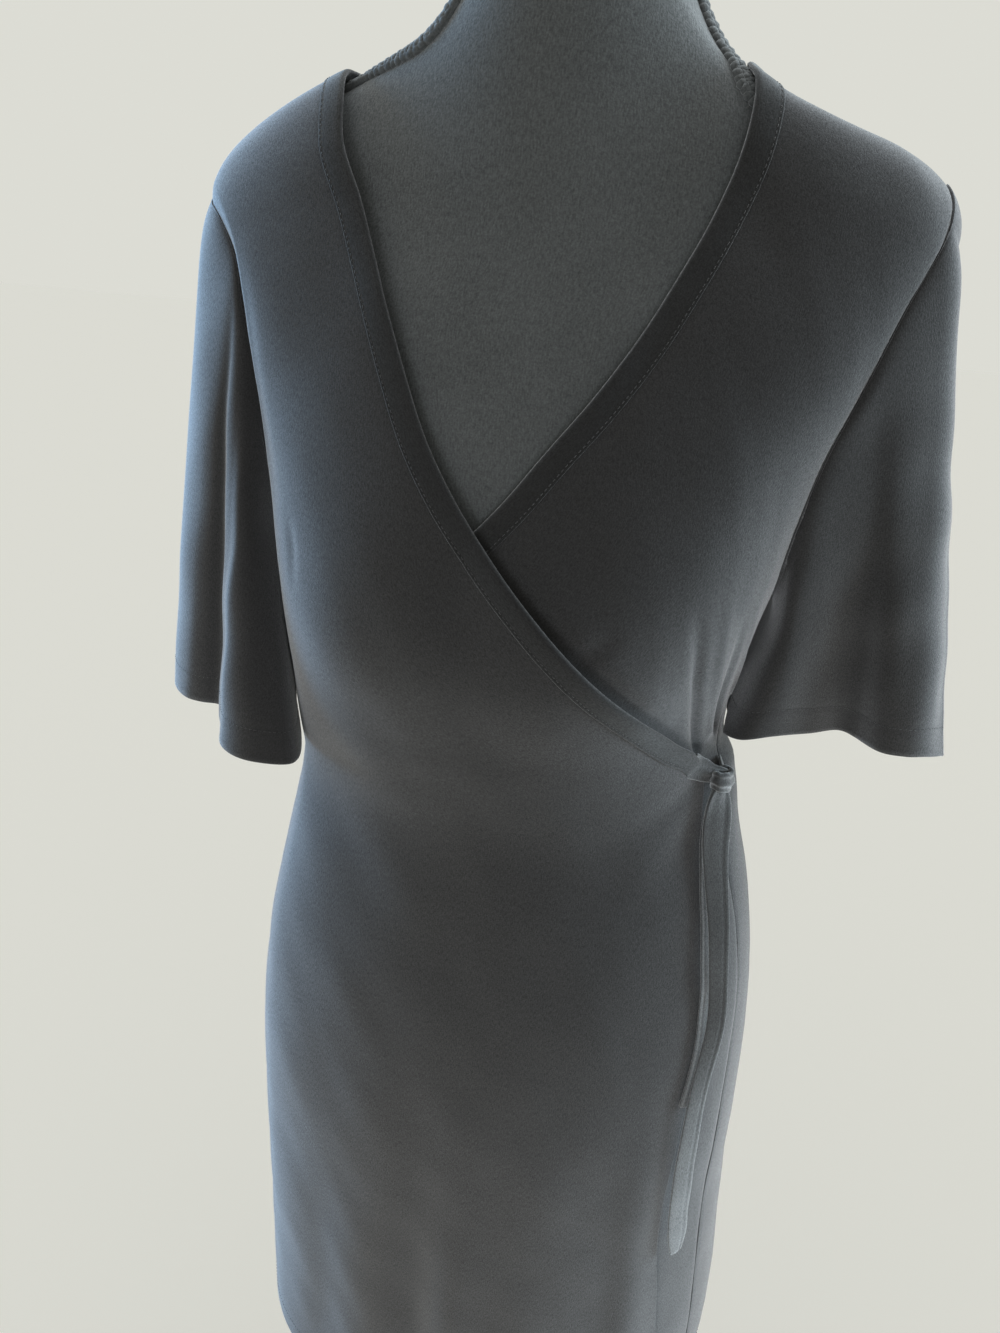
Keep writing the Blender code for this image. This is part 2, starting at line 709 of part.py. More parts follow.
def tie_points(table, rows):
    """A tie's outer face: its middle line down the body, widened along the level."""
    table = np.array(table)[::-1]
    height = np.linspace(table[-1, 0], table[0, 0], rows)
    angle, out, width = (through(table[:, 0], table[:, k], height) for k in (1, 2, 3))
    radius = surface_radius(angle, height)
    half = np.degrees(width / 2 / radius)
    across = np.linspace(-1, 1, 3)[None]
    places = np.stack([angle[:, None] + half[:, None] * across, height[:, None] + 0 * across], axis=-1)
    return raised(place(places), out[:, None] + 0 * across)


def tie_root_points():
    """The side tie from its seam to the knot: its outer face, rising off the body as it goes."""
    angle = np.linspace(TIE_ROOT_END, TIE_ROOT_START, 5)[None]
    height = TIE_ROOT_HEIGHT + TIE_ROOT_WIDTH / 2 * np.linspace(1, -1, 3)[:, None]
    places = np.stack(np.broadcast_arrays(angle, height), axis=-1)
    out = np.linspace(TIE_ROOT_RISE[1], TIE_ROOT_RISE[0], 5)[None] + 0 * height
    return raised(place(places), out)


def knot_points():
    """A squat rounded knot with a groove round it, as rings from top to bottom."""
    foot = place(np.array([KNOT_ANGLE, KNOT_HEIGHT]))
    centre = raised(foot, KNOT_OUT)
    level = (centre - foot) * np.array([1.0, 1.0, 0.0])
    level /= np.linalg.norm(level)
    along = np.array([-level[1], level[0], 0.0])
    tilt = np.radians(np.linspace(80, -80, 9))[:, None]
    turn = np.radians(np.arange(0, 360, 22.5))[None]
    groove = KNOT_GROOVE * np.exp(-((np.degrees(tilt) + 12) / 13) ** 2)
    wide = KNOT_HALF_WIDTH * np.cos(tilt) - groove
    deep = KNOT_HALF_DEPTH * np.cos(tilt) - groove * 0.6
    return (
        centre
        + (deep * np.cos(turn))[..., None] * level
        + (wide * np.sin(turn))[..., None] * along
        + (KNOT_HALF_HEIGHT * np.sin(tilt) + 0 * turn)[..., None] * np.array([0, 0, 1.0])
    )


def add_closed_rings(name, rings, finish, collection):
    """Rings from top to bottom, joined and closed with a fan at each end."""
    rows, columns = rings.shape[:2]
    points = np.concatenate([rings.reshape(-1, 3), rings[:1].mean(axis=1), rings[-1:].mean(axis=1)])
    top, bottom = rows * columns, rows * columns + 1
    faces = grid_faces(rows, columns, closed=True)
    last = (rows - 1) * columns
    for j in range(columns):
        k = (j + 1) % columns
        faces.append((top, j, k))
        faces.append((bottom, last + k, last + j))
    return add_mesh(name, points, faces, finish, collection)


def build_dress(collection):
    """The panels, bands, sleeves, ties and knot."""
    crepe = material("black_crepe", (0.012, 0.012, 0.014), 0.85)
    upper = front_points(RIGHT_FRONT_ARMHOLE, CROSSING_EDGE, RIGHT_BAND_DROP)
    lower = other_half(front_points(LEFT_FRONT_ARMHOLE, LOWER_CROSSING_EDGE, LEFT_BAND_DROP))
    back = back_points()
    rise = overlap_rise(*upper.shape[:2])
    add_cloth("front_right", raised(upper, rise), CLOTH_WALL, crepe, collection)
    add_cloth("front_left", raised(lower), CLOTH_WALL, crepe, collection)
    add_cloth("back", raised(back), CLOTH_WALL, crepe, collection)

    band_rows = slice(0, ARMHOLE_ROWS + WAIST_ROWS + 1)
    lift = REST_GAP + BAND_WALL
    band = raised(upper[band_rows, -2:], rise[band_rows, -2:] + lift)
    add_cloth("neck_band_right", band, BAND_WALL, crepe, collection)
    band = raised(lower[band_rows, :2], lift)
    add_cloth("neck_band_left", band, BAND_WALL, crepe, collection)
    neckline = back[0, BACK_SHOULDER_COLUMNS:BACK_SHOULDER_COLUMNS + BACK_NECK_COLUMNS + 1]
    stitched = inside_edge(neckline, BAND_WIDTH)
    stitched[0], stitched[-1] = lower[0, 1], upper[0, -2]
    stitched[[0, -1], 1] = neckline[[0, -1], 1]
    band = raised(np.stack([neckline, stitched]), lift + BACK_BAND_EASE)
    add_cloth("neck_band_back", band, BAND_WALL, crepe, collection)

    sleeve = sleeve_points(
        1, LEFT_FRONT_ARMHOLE, LEFT_BACK_ARMHOLE, LEFT_SLEEVE_HEM, LEFT_SLEEVE_HEM_HEIGHT,
    )
    add_cloth("sleeve_left", sleeve, CLOTH_WALL, crepe, collection, closed=True, flip=True)
    sleeve = sleeve_points(
        -1, RIGHT_FRONT_ARMHOLE, RIGHT_BACK_ARMHOLE, RIGHT_SLEEVE_HEM, RIGHT_SLEEVE_HEM_HEIGHT,
    )
    add_cloth("sleeve_right", sleeve, CLOTH_WALL, crepe, collection, closed=True)

    add_cloth("tie_front", tie_points(FRONT_TIE, 22), TIE_WALL, crepe, collection)
    add_cloth("tie_side", tie_points(SIDE_TIE, 14), TIE_WALL, crepe, collection)
    add_cloth("tie_side_root", tie_root_points(), TIE_WALL, crepe, collection)
    add_closed_rings("tie_knot", knot_points(), crepe, collection)


# ---------------------------------------------------------------- form and stand
def form_points():
    """The form's skin: rings down from the neck, evened out, with a rounded rim at both ends."""
    turn = np.arange(FORM_COLUMNS) * 2 * math.pi / FORM_COLUMNS
    height = np.linspace(FORM_TOP - 0.012, FORM_BOTTOM + 0.012, FORM_ROWS)
    turn, height = np.meshgrid(turn, height)
    radius = surface_radius(np.degrees(turn), height, form=True)
    skin = np.stack([radius * np.cos(turn), radius * np.sin(turn), height], axis=-1)
    for _ in range(FORM_SETTLING_ROUNDS):
        beside = (np.roll(skin, 1, axis=1) + np.roll(skin, -1, axis=1)) / 4
        skin[1:-1] = onto_surface(beside[1:-1] + (skin[:-2] + skin[2:]) / 4, 1, form=True)
    rims = []
    for ring, up in ((skin[0], 1), (skin[-1], -1)):
        middle = ring.mean(axis=0)
        inwards = (middle - ring) / np.linalg.norm(middle - ring, axis=1, keepdims=True)
        rims.append([
            ring + inwards * inset + np.array([0, 0, up * rise])
            for inset, rise in FORM_RIM
        ])
    return np.stack(rims[0][::-1] + list(skin) + rims[1])


def build_form(collection):
    """The limbless dress form."""
    jersey = material("black_jersey", (0.028, 0.030, 0.031), 0.9)
    add_closed_rings("form_torso", form_points(), jersey, collection)


def build_stand(collection):
    """The pole below the form and the round base plate, turned from its profile."""
    steel = material("painted_steel", (0.02, 0.02, 0.02), 0.45)
    length = FORM_BOTTOM - SOCKET_TOP - 2 * REST_GAP
    bpy.ops.mesh.primitive_cylinder_add(
        vertices=28, radius=POLE_RADIUS, depth=length,
        location=(0, 0, SOCKET_TOP + REST_GAP + length / 2),
    )
    pole = bpy.context.object
    pole.name = "stand_pole"
    pole.data.materials.append(steel)
    for owner in list(pole.users_collection):
        owner.objects.unlink(pole)
    collection.objects.link(pole)

    profile = (
        # radius height
        (0.0, SOCKET_TOP),
        (SOCKET_RADIUS - 0.003, SOCKET_TOP),
        (SOCKET_RADIUS, SOCKET_TOP - 0.003),
        (SOCKET_RADIUS, BASE_CROWN),
        (BASE_RADIUS - 0.012, BASE_RIM),
        (BASE_RADIUS, BASE_RIM - 0.004),
        (BASE_RADIUS, 0.0),
        (0.0, 0.0),
    )
    mesh = bpy.data.meshes.new("stand_base")
    edges = [(i, i + 1) for i in range(len(profile) - 1)]
    mesh.from_pydata([(radius, 0, height) for radius, height in profile], edges, [])
    mesh.materials.append(steel)
    base = bpy.data.objects.new("stand_base", mesh)
    collection.objects.link(base)
    screw = base.modifiers.new("Turn", "SCREW")
    screw.steps = 48
    screw.render_steps = 48
    screw.use_merge_vertices = True
    screw.merge_threshold = 0.00005


def main():
    """Builds every piece into one collection."""
    clear_scene()
    collection = bpy.data.collections.new("wrap_dress_on_form")
    bpy.context.scene.collection.children.link(collection)
    build_form(collection)
    build_stand(collection)
    build_dress(collection)


main()
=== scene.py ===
"""Looks of a wrap dress worn on a limbless dress form: cloth, stitching, knot, form and stand.

Metres, +Z up, the front faces -Y and +X is the wearer's left. Every cloth piece
lies on one smooth body surface, and a place on it is a pair: the angle round the
body in degrees (0 wearer's left, -90 front, 90 back) and the height above the floor.
"""

import logging
import math
from dataclasses import dataclass, replace
from enum import Enum

import bpy
import numpy as np
from mathutils import Matrix


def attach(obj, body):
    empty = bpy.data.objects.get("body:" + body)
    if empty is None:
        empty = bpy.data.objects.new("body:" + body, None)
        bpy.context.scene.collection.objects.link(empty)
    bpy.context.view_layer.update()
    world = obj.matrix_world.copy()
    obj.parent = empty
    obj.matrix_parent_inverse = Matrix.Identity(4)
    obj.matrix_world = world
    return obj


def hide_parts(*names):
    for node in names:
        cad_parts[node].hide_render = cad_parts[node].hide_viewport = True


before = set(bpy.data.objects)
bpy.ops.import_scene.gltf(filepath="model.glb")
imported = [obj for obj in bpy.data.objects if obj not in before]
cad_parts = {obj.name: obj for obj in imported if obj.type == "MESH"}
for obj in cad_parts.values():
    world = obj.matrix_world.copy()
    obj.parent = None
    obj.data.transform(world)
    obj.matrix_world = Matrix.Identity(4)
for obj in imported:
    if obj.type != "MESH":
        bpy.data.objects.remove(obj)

LOG = logging.getLogger("wrap_dress")
Rows = tuple[tuple[float, ...], ...]
Colour = tuple[float, float, float]
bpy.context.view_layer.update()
RIM_BULGE = 0.42            # how far a shell's rim rounds out, as a share of its wall
EDGE_STEPS = 1.7            # how strongly the grids' steps crowd to their edges
WANDER_WAVES = 9
WANDER_SHORTEST = 0.35      # the shortest wave as a share of the longest
WANDER_PEAK = 4.0           # about the largest sum of the waves
HEM_STITCH_HEIGHT = 0.020
HEM_STITCH_OUT = 0.00008
HEM_STATIONS = 30
ROW_STEPS = (7, 10, 14)     # steps in an inner interval, in the first and in the last one
FRONT_STEPS = (5, 9, 8)
BACK_STEPS = (4, 8, 8)
UP = np.array([0, 0, 1.0])


# ---------------------------------------------------------------- mathematics
def through(knots: np.ndarray, values: np.ndarray, at: np.ndarray) -> np.ndarray:
    """A smooth curve through rising knots: cubic pieces whose slopes are weighted means of the chords'.

    Args:
        knots: rising places of the given values.
        values: the curve's values there.
        at: places to read the curve at.

    Returns:
        The curve's values at those places.
    """
    knots, values = np.asarray(knots, float), np.asarray(values, float)
    step = np.diff(knots)
    rise = np.diff(values) / step
    slope = np.empty_like(values)
    slope[0], slope[-1] = rise[0], rise[-1]
    slope[1:-1] = (rise[:-1] * step[1:] + rise[1:] * step[:-1]) / (step[:-1] + step[1:])
    i = np.clip(np.searchsorted(knots, at) - 1, 0, len(step) - 1)
    t = (at - knots[i]) / step[i]
    bend = t * (1 - t) ** 2 * slope[i] - t * t * (1 - t) * slope[i + 1]
    start = (1 + 2 * t) * (1 - t) ** 2 * values[i]
    return start + t * t * (3 - 2 * t) * values[i + 1] + step[i] * bend


def smooth_max(a: np.ndarray, b: np.ndarray, reach: np.ndarray | float) -> np.ndarray:
    """The larger of two fields, plus (reach - |a-b|)^2 / (4 reach) where they are that near."""
    near = np.maximum(reach - np.abs(a - b), 0) / reach
    return np.maximum(a, b) + near * near * reach / 4


def smooth_step(t: np.ndarray) -> np.ndarray:
    """t^2 (3 - 2t) between 0 and 1, and level outside."""
    t = np.clip(t, 0, 1)
    return t * t * (3 - 2 * t)


def unit(vectors: np.ndarray) -> np.ndarray:
    """Vectors divided by their lengths."""
    return vectors / np.maximum(np.linalg.norm(vectors, axis=-1, keepdims=True), 1e-12)


def weaver(count: int, at: np.ndarray, closed: bool = False) -> np.ndarray:
    """Weights that read a row of points at fractional indices with Catmull-Rom cubics.

    Past an open row's ends a ghost point carries on straight, 2 P0 - P1.

    Args:
        count: number of points in the row.
        at: fractional indices.
        closed: whether the row joins up with itself.

    Returns:
        A matrix with one line of weights for each index in at.
    """
    i = np.floor(at).astype(int)
    if not closed:
        i = np.clip(i, 0, count - 2)
    t = at - i
    cubic = np.stack([
        (-t + 2 * t**2 - t**3) / 2, (2 - 5 * t**2 + 3 * t**3) / 2,
        (t + 4 * t**2 - 3 * t**3) / 2, (t**3 - t**2) / 2,
    ], axis=1)
    lines = np.arange(len(at))
    padded = np.zeros((len(at), count + 2))
    for k in range(4):
        if closed:
            np.add.at(padded, (lines, (i + k - 1) % count + 1), cubic[:, k])
        else:
            np.add.at(padded, (lines, i + k), cubic[:, k])
    weights = padded[:, 1:-1].copy()
    if not closed:
        weights[:, 0] += 2 * padded[:, 0]
        weights[:, 1] -= padded[:, 0]
        weights[:, -1] += 2 * padded[:, -1]
        weights[:, -2] -= padded[:, -1]
    return weights


def refined(points: np.ndarray, rows: np.ndarray, columns: np.ndarray, closed: bool = False) -> np.ndarray:
    """A grid of points read at fractional rows and columns: rows @ grid @ columns."""
    down, across = weaver(points.shape[0], rows), weaver(points.shape[1], columns, closed)
    return np.einsum("ri,ijk,cj->rck", down, points, across)


def steps(intervals: int, each: int, first: int, last: int) -> np.ndarray:
    """Fractional indices from 0 to intervals, each interval cut evenly, with short steps at both ends.

    Args:
        intervals: number of whole intervals.
        each: steps in an inner interval.
        first: steps in the first interval, where the k-th is at (k/first)^EDGE_STEPS.
        last: steps in the last interval, mirrored.

    Returns:
        The rising indices.
    """
    start = np.linspace(0, 1, first + 1) ** EDGE_STEPS
    end = intervals - np.linspace(1, 0, last + 1) ** EDGE_STEPS
    middle = np.linspace(1, intervals - 1, (intervals - 2) * each + 1)
    return np.concatenate([start[:-1], middle[:-1], end])


def run_along(points: np.ndarray, axis: int) -> np.ndarray:
    """Distance travelled along one axis of a grid of points: the running sum of the steps between them.

    Args:
        points: the grid.
        axis: the axis to travel along.

    Returns:
        A distance in metres for each point, 0 at the start.
    """
    length = np.linalg.norm(np.diff(points, axis=axis), axis=-1)
    start = np.zeros_like(np.take(length, [0], axis=axis))
    return np.concatenate([start, np.cumsum(length, axis=axis)], axis=axis)


def wander(points: np.ndarray, seed: int, length: float, size: float) -> np.ndarray:
    """Soft unevenness: sines in seeded directions, size / peak * sum of sin(2 pi d.p / length_k + phase_k).

    Args:
        points: where to read it.
        seed: chooses the directions and phases.
        length: the longest wave, in metres.
        size: about the largest value.

    Returns:
        A value for each point.
    """
    random = np.random.default_rng(seed)
    heading = unit(random.normal(size=(WANDER_WAVES, 3)))
    wave = length * random.uniform(WANDER_SHORTEST, 1.0, WANDER_WAVES)
    phase = random.uniform(0, 2 * math.pi, WANDER_WAVES)
    turns = np.einsum("...k,nk->...n", points, heading / wave[:, None])
    return size * np.sin(2 * math.pi * turns + phase).sum(axis=-1) / WANDER_PEAK


@dataclass(frozen=True)
class Ripple:
    """A small even wave: size * sin(turns * along + lean * across + phase)."""

    size: float
    turns: float
    phase: float = 0.0
    lean: float = 0.0

    def at(self, along: np.ndarray, across: np.ndarray | float = 0.0) -> np.ndarray:
        """The wave's value at places along it and across it."""
        return self.size * np.sin(self.turns * along + self.lean * across + self.phase)


def polar(radius: np.ndarray, turn: np.ndarray, height: np.ndarray) -> np.ndarray:
    """World points at (radius cos turn, radius sin turn, height)."""
    return np.stack(np.broadcast_arrays(radius * np.cos(turn), radius * np.sin(turn), height), axis=-1)


# ---------------------------------------------------------------- the body surface
@dataclass(frozen=True)
class Crease:
    """One soft line in the cloth: path rows are (angle, height, width, rise), below 0 for a trough."""

    path: Rows


@dataclass(frozen=True)
class WornBody:
    """The smooth surface that the worn cloth follows, and the form's skin inside it."""

    sections: Rows = (
        # height half_width shift front back power ease
        (1.56, 0.205, 0.000, 0.049, 0.060, 2.3, 0.0045),
        (1.46, 0.205, -0.002, 0.057, 0.075, 2.3, 0.0060),
        (1.41, 0.206, -0.002, 0.072, 0.092, 2.3, 0.0070),
        (1.36, 0.191, 0.000, 0.092, 0.105, 2.4, 0.0060),
        (1.30, 0.166, 0.002, 0.113, 0.113, 2.4, 0.0050),
        (1.24, 0.151, 0.001, 0.127, 0.111, 2.3, 0.0055),
        (1.19, 0.144, -0.003, 0.129, 0.103, 2.2, 0.0060),
        (1.13, 0.141, -0.008, 0.116, 0.094, 2.1, 0.0080),
        (1.07, 0.149, -0.003, 0.105, 0.090, 2.0, 0.0090),
        (1.01, 0.165, 0.001, 0.110, 0.103, 2.1, 0.0070),
        (0.93, 0.180, 0.000, 0.122, 0.126, 2.2, 0.0060),
        (0.85, 0.189, -0.002, 0.130, 0.137, 2.2, 0.0060),
        (0.74, 0.194, -0.003, 0.134, 0.137, 2.1, 0.0060),
        (0.60, 0.201, 0.000, 0.140, 0.140, 2.0, 0.0060),
        (0.44, 0.203, 0.000, 0.146, 0.146, 2.0, 0.0060),
    )
    folds: Rows = (
        # angle width top full rise
        (-97.0, 7.0, 0.90, 0.50, -0.0080),
        (-84.0, 8.0, 0.92, 0.52, 0.0050),
        (-116.0, 10.0, 0.95, 0.50, 0.0020),
        (-129.0, 7.0, 0.86, 0.50, -0.0020),
        (-62.0, 10.0, 0.90, 0.50, 0.0035),
        (-36.0, 5.0, 1.00, 0.66, 0.0040),
        (12.0, 7.0, 1.04, 0.70, 0.0050),
        (-5.0, 12.0, 1.120, 1.100, 0.0060),
        (-5.0, 12.0, 1.090, 1.010, -0.0060),
        (34.0, 9.0, 0.90, 0.52, -0.0070),
        (60.0, 11.0, 0.92, 0.50, 0.0070),
        (86.0, 9.0, 0.88, 0.50, -0.0080),
        (112.0, 11.0, 0.92, 0.52, 0.0060),
        (140.0, 9.0, 0.90, 0.50, -0.0070),
        (164.0, 10.0, 0.94, 0.50, 0.0050),
    )
    hem_height: float = 0.497
    hem_tilt: float = 0.055
    hem_tilt_top: float = 0.95
    roof_half_span: float = 0.108
    roof_height: float = 1.467
    roof_slope: float = 0.36
    roof_crest: float = 0.030
    shoulder_rounding: float = 0.050
    left_shoulder_rounding: float = 0.034
    neck_foot: float = 1.40
    neck_length: float = 0.15
    neck_radius: float = 0.0605
    neck_taper: float = 0.021
    neck_lean_left: float = 0.010
    neck_set_back: float = 0.014
    neck_lean_forward: float = 0.026
    neck_blend: float = 0.070
    neck_ease: float = 0.004
    roof_ease: float = 0.0047
    bust_spread: float = 0.085
    bust_height: float = 1.205
    bust_reach: float = 0.045
    bust_rise: float = 0.007
    bust_onset: float = 0.06
    side_blend: float = 0.12
    search_radius: float = 0.32
    search_steps: int = 36
    probe: float = 1e-4
    crease_pieces: int = 24
    crease_reach: float = 3.2

    def field(self, points: np.ndarray, form: bool = False) -> np.ndarray:
        """Nearly the signed distance from the cloth's surface, or from the form's skin.

        Superellipse sections |x/w|^p + |y/d|^p, a bump for each breast, cut off
        by a sloping roof and joined to a leaning cone for the neck.

        Args:
            points: where to read it.
            form: the form's skin instead of the cloth's surface.

        Returns:
            A value for each point, above 0 outside.
        """
        x, y, z = points[..., 0], points[..., 1], points[..., 2]
        table = np.array(self.sections[::-1])
        level = np.clip(z, table[0, 0], table[-1, 0])
        width, shift, front, back, power, ease = (
            through(table[:, 0], table[:, k], level) for k in range(1, 7)
        )
        sink = 0.0
        if form:
            width, front, back = width - np.abs(shift) - ease, front - ease, back - ease
            shift, sink = 0.0, self.roof_ease
        depth = np.where(y < 0, front, back)
        u = x - shift
        scale = (np.abs(u / width) ** power + np.abs(y / depth) ** power) ** (1 / power)
        loft = np.hypot(u, y) * (1 - 1 / np.maximum(scale, 1e-6))
        off = (np.abs(x) - self.bust_spread) ** 2 + (z - self.bust_height) ** 2
        loft = loft - self.bust_rise * np.exp(-off / (2 * self.bust_reach**2)) * smooth_step(-y / self.bust_onset)
        ridge = self.roof_half_span - np.sqrt(x * x + self.roof_crest**2)
        crest = self.roof_height + self.roof_slope * ridge - sink
        left = 0.0 if form else smooth_step((x + self.side_blend / 2) / self.side_blend)
        rounding = self.shoulder_rounding + (self.left_shoulder_rounding - self.shoulder_rounding) * left
        torso = smooth_max(loft, (z - crest) / math.hypot(1, self.roof_slope), rounding)
        up = np.maximum(z - self.neck_foot, 0) / self.neck_length
        neck_y = self.neck_set_back - self.neck_lean_forward * up
        girth = self.neck_radius - self.neck_taper * up + (0.0 if form else self.neck_ease)
        neck = np.hypot(x - self.neck_lean_left * up, y - neck_y) - girth
        return -smooth_max(-torso, -neck, self.neck_blend)

    def slope(self, points: np.ndarray, form: bool = False) -> np.ndarray:
        """The field's gradient: (field(p + e) - field(p - e)) / 2e along each axis.

        Args:
            points: where to read it.
            form: the form's skin instead of the cloth's surface.

        Returns:
            A gradient for each point.
        """
        sides = [
            self.field(points + axis, form) - self.field(points - axis, form) for axis in np.eye(3) * self.probe
        ]
        return np.stack(sides, axis=-1) / (2 * self.probe)

    def onto(self, points: np.ndarray, rounds: int = 3, form: bool = False) -> np.ndarray:
        """Points moved along the slope onto the surface, by Newton's steps p - g field / |g|^2.

        Args:
            points: where they start.
            rounds: number of steps.
            form: the form's skin instead of the cloth's surface.

        Returns:
            The moved points.
        """
        for _ in range(rounds):
            gradient = self.slope(points, form)
            share = self.field(points, form) / (gradient**2).sum(axis=-1)
            points = points - gradient * share[..., None]
        return points

    def radius(self, angle: np.ndarray, height: np.ndarray, form: bool = False) -> np.ndarray:
        """Distance of the surface from the body's axis, found by halving.

        Args:
            angle: angles round the body, in degrees.
            height: heights above the floor.
            form: the form's skin instead of the cloth's surface.

        Returns:
            A distance for each place.
        """
        angle, height = np.broadcast_arrays(np.radians(angle), np.asarray(height, float))
        near, far = np.zeros(angle.shape), np.full(angle.shape, self.search_radius)
        for _ in range(self.search_steps):
            middle = (near + far) / 2
            over = self.field(polar(middle, angle, height), form) > 0
            far, near = np.where(over, middle, far), np.where(over, near, middle)
        return (near + far) / 2

    def place(self, places: np.ndarray) -> np.ndarray:
        """World points of (angle, height) places on the surface."""
        angle, height = places[..., 0], places[..., 1]
        return polar(self.radius(angle, height), np.radians(angle), height)

    def normal(self, points: np.ndarray) -> np.ndarray:
        """Unit directions off the surface."""
        return unit(self.slope(points))

    def fold_rise(self, points: np.ndarray) -> np.ndarray:
        """How far the long soft folds move the cloth out: rise * grown(height) * exp(-(apart/width)^2).

        Args:
            points: surface points.

        Returns:
            A value for each point.
        """
        angle = np.degrees(np.arctan2(points[..., 1], points[..., 0]))
        total = np.zeros(angle.shape)
        for middle, width, top, full, rise in self.folds:
            apart = (angle - middle + 180) % 360 - 180
            grown = smooth_step((top - points[..., 2]) / (top - full))
            total += rise * grown * np.exp(-((apart / width) ** 2))
        return total

    def crease_rise(self, points: np.ndarray, creases: tuple[Crease, ...]) -> np.ndarray:
        """How far the creases move the cloth: rise * exp(-q^2) (1 - q^2/3), q = distance to the line / width.

        Args:
            points: surface points.
            creases: the lines, each smoothed into short straight pieces.

        Returns:
            A value for each point.
        """
        flat = points.reshape(-1, 3)
        total = np.zeros(len(flat))
        for crease in creases:
            table = np.array(crease.path)
            share, at = np.linspace(0, 1, len(table)), np.linspace(0, 1, self.crease_pieces + 1)
            fine = np.stack([through(share, table[:, k], at) for k in range(4)], axis=1)
            line = self.place(fine[:, :2])
            reach = self.crease_reach * fine[:, 2].max()
            low, high = line.min(axis=0) - reach, line.max(axis=0) + reach
            near = np.flatnonzero(((flat > low) & (flat < high)).all(axis=1))
            if not len(near):
                continue
            start, along = line[:-1], np.diff(line, axis=0)
            off = flat[near, None] - start[None]
            t = np.clip((off * along).sum(axis=-1) / (along**2).sum(axis=-1), 0, 1)
            apart = np.linalg.norm(off - t[..., None] * along, axis=-1)
            best = apart.argmin(axis=1)
            pick = np.arange(len(near))
            t = t[pick, best]
            width = fine[best, 2] + t * (fine[best + 1, 2] - fine[best, 2])
            rise = fine[best, 3] + t * (fine[best + 1, 3] - fine[best, 3])
            q = (apart[pick, best] / width) ** 2
            total[near] += rise * np.exp(-q) * (1 - q / 3)
        return total.reshape(points.shape[:-1])

    def hung(self, points: np.ndarray, out: np.ndarray | float = 0.0) -> np.ndarray:
        """Surface points moved out along the normal, by out and the long folds, and tilted with the hem.

        Args:
            points: surface points.
            out: distance off the surface.

        Returns:
            The moved points.
        """
        rise = np.asarray(out) + self.fold_rise(points)
        tilt = self.hem_tilt * smooth_step(
            (self.hem_tilt_top - points[..., 2]) / (self.hem_tilt_top - self.hem_height)
        )
        lift = (tilt * points[..., 0])[..., None] * UP
        return points + self.normal(points) * rise[..., None] + lift


BODY = WornBody()


# ---------------------------------------------------------------- meshes
def quads(index: np.ndarray, wrap: bool = False) -> np.ndarray:
    """Four-cornered faces between the rows and columns of an index grid, facing out for rows down.

    Args:
        index: the corners' numbers.
        wrap: whether the last column joins up with the first.

    Returns:
        (n, 4) corner numbers.
    """
    if wrap:
        index = np.concatenate([index, index[:, :1]], axis=1)
    return np.stack([index[:-1, :-1], index[1:, :-1], index[1:, 1:], index[:-1, 1:]], axis=-1).reshape(-1, 4)


def make_object(
    name: str, points: np.ndarray, faces: np.ndarray, chart: np.ndarray, finish: bpy.types.Material,
) -> bpy.types.Object:
    """A smooth-shaded object, with its UV map in metres.

    Args:
        name: the piece's name.
        points: (n, 3) corners.
        faces: (m, 4) corner numbers; a three-cornered face repeats its last one.
        chart: (n, 2) place of each corner on the cloth.
        finish: its material.

    Returns:
        The new object.
    """
    mesh = bpy.data.meshes.new(name)
    triangle = faces[:, 2] == faces[:, 3]
    count = np.where(triangle, 3, 4)
    loops = faces[np.arange(4)[None] < count[:, None]]
    mesh.vertices.add(len(points))
    mesh.vertices.foreach_set("co", points.astype(np.float32).ravel())
    mesh.loops.add(len(loops))
    mesh.loops.foreach_set("vertex_index", loops.astype(np.int32))
    mesh.polygons.add(len(faces))
    mesh.polygons.foreach_set("loop_start", np.concatenate([[0], np.cumsum(count)[:-1]]).astype(np.int32))
    mesh.polygons.foreach_set("use_smooth", np.ones(len(faces), bool))
    mesh.update(calc_edges=True)
    mesh.validate()
    layer = mesh.uv_layers.new(name="cloth")
    corner = np.empty(len(mesh.loops), np.int32)
    mesh.loops.foreach_get("vertex_index", corner)
    layer.uv.foreach_set("vector", chart[corner].astype(np.float32).ravel())
    mesh.materials.append(finish)
    made = bpy.data.objects.new(name, mesh)
    bpy.context.scene.collection.objects.link(made)
    return made


def grid_normal(grid: np.ndarray, closed: bool = False) -> np.ndarray:
    """Unit normals of a grid: (next row - last row) x (next column - last column).

    Args:
        grid: (rows, columns, 3) points.
        closed: whether the columns join up into rings.

    Returns:
        A direction for each point.
    """
    down = np.gradient(grid, axis=0)
    if closed:
        across = (np.roll(grid, -1, axis=1) - np.roll(grid, 1, axis=1)) / 2
    else:
        across = np.gradient(grid, axis=1)
    return unit(np.cross(down, across))


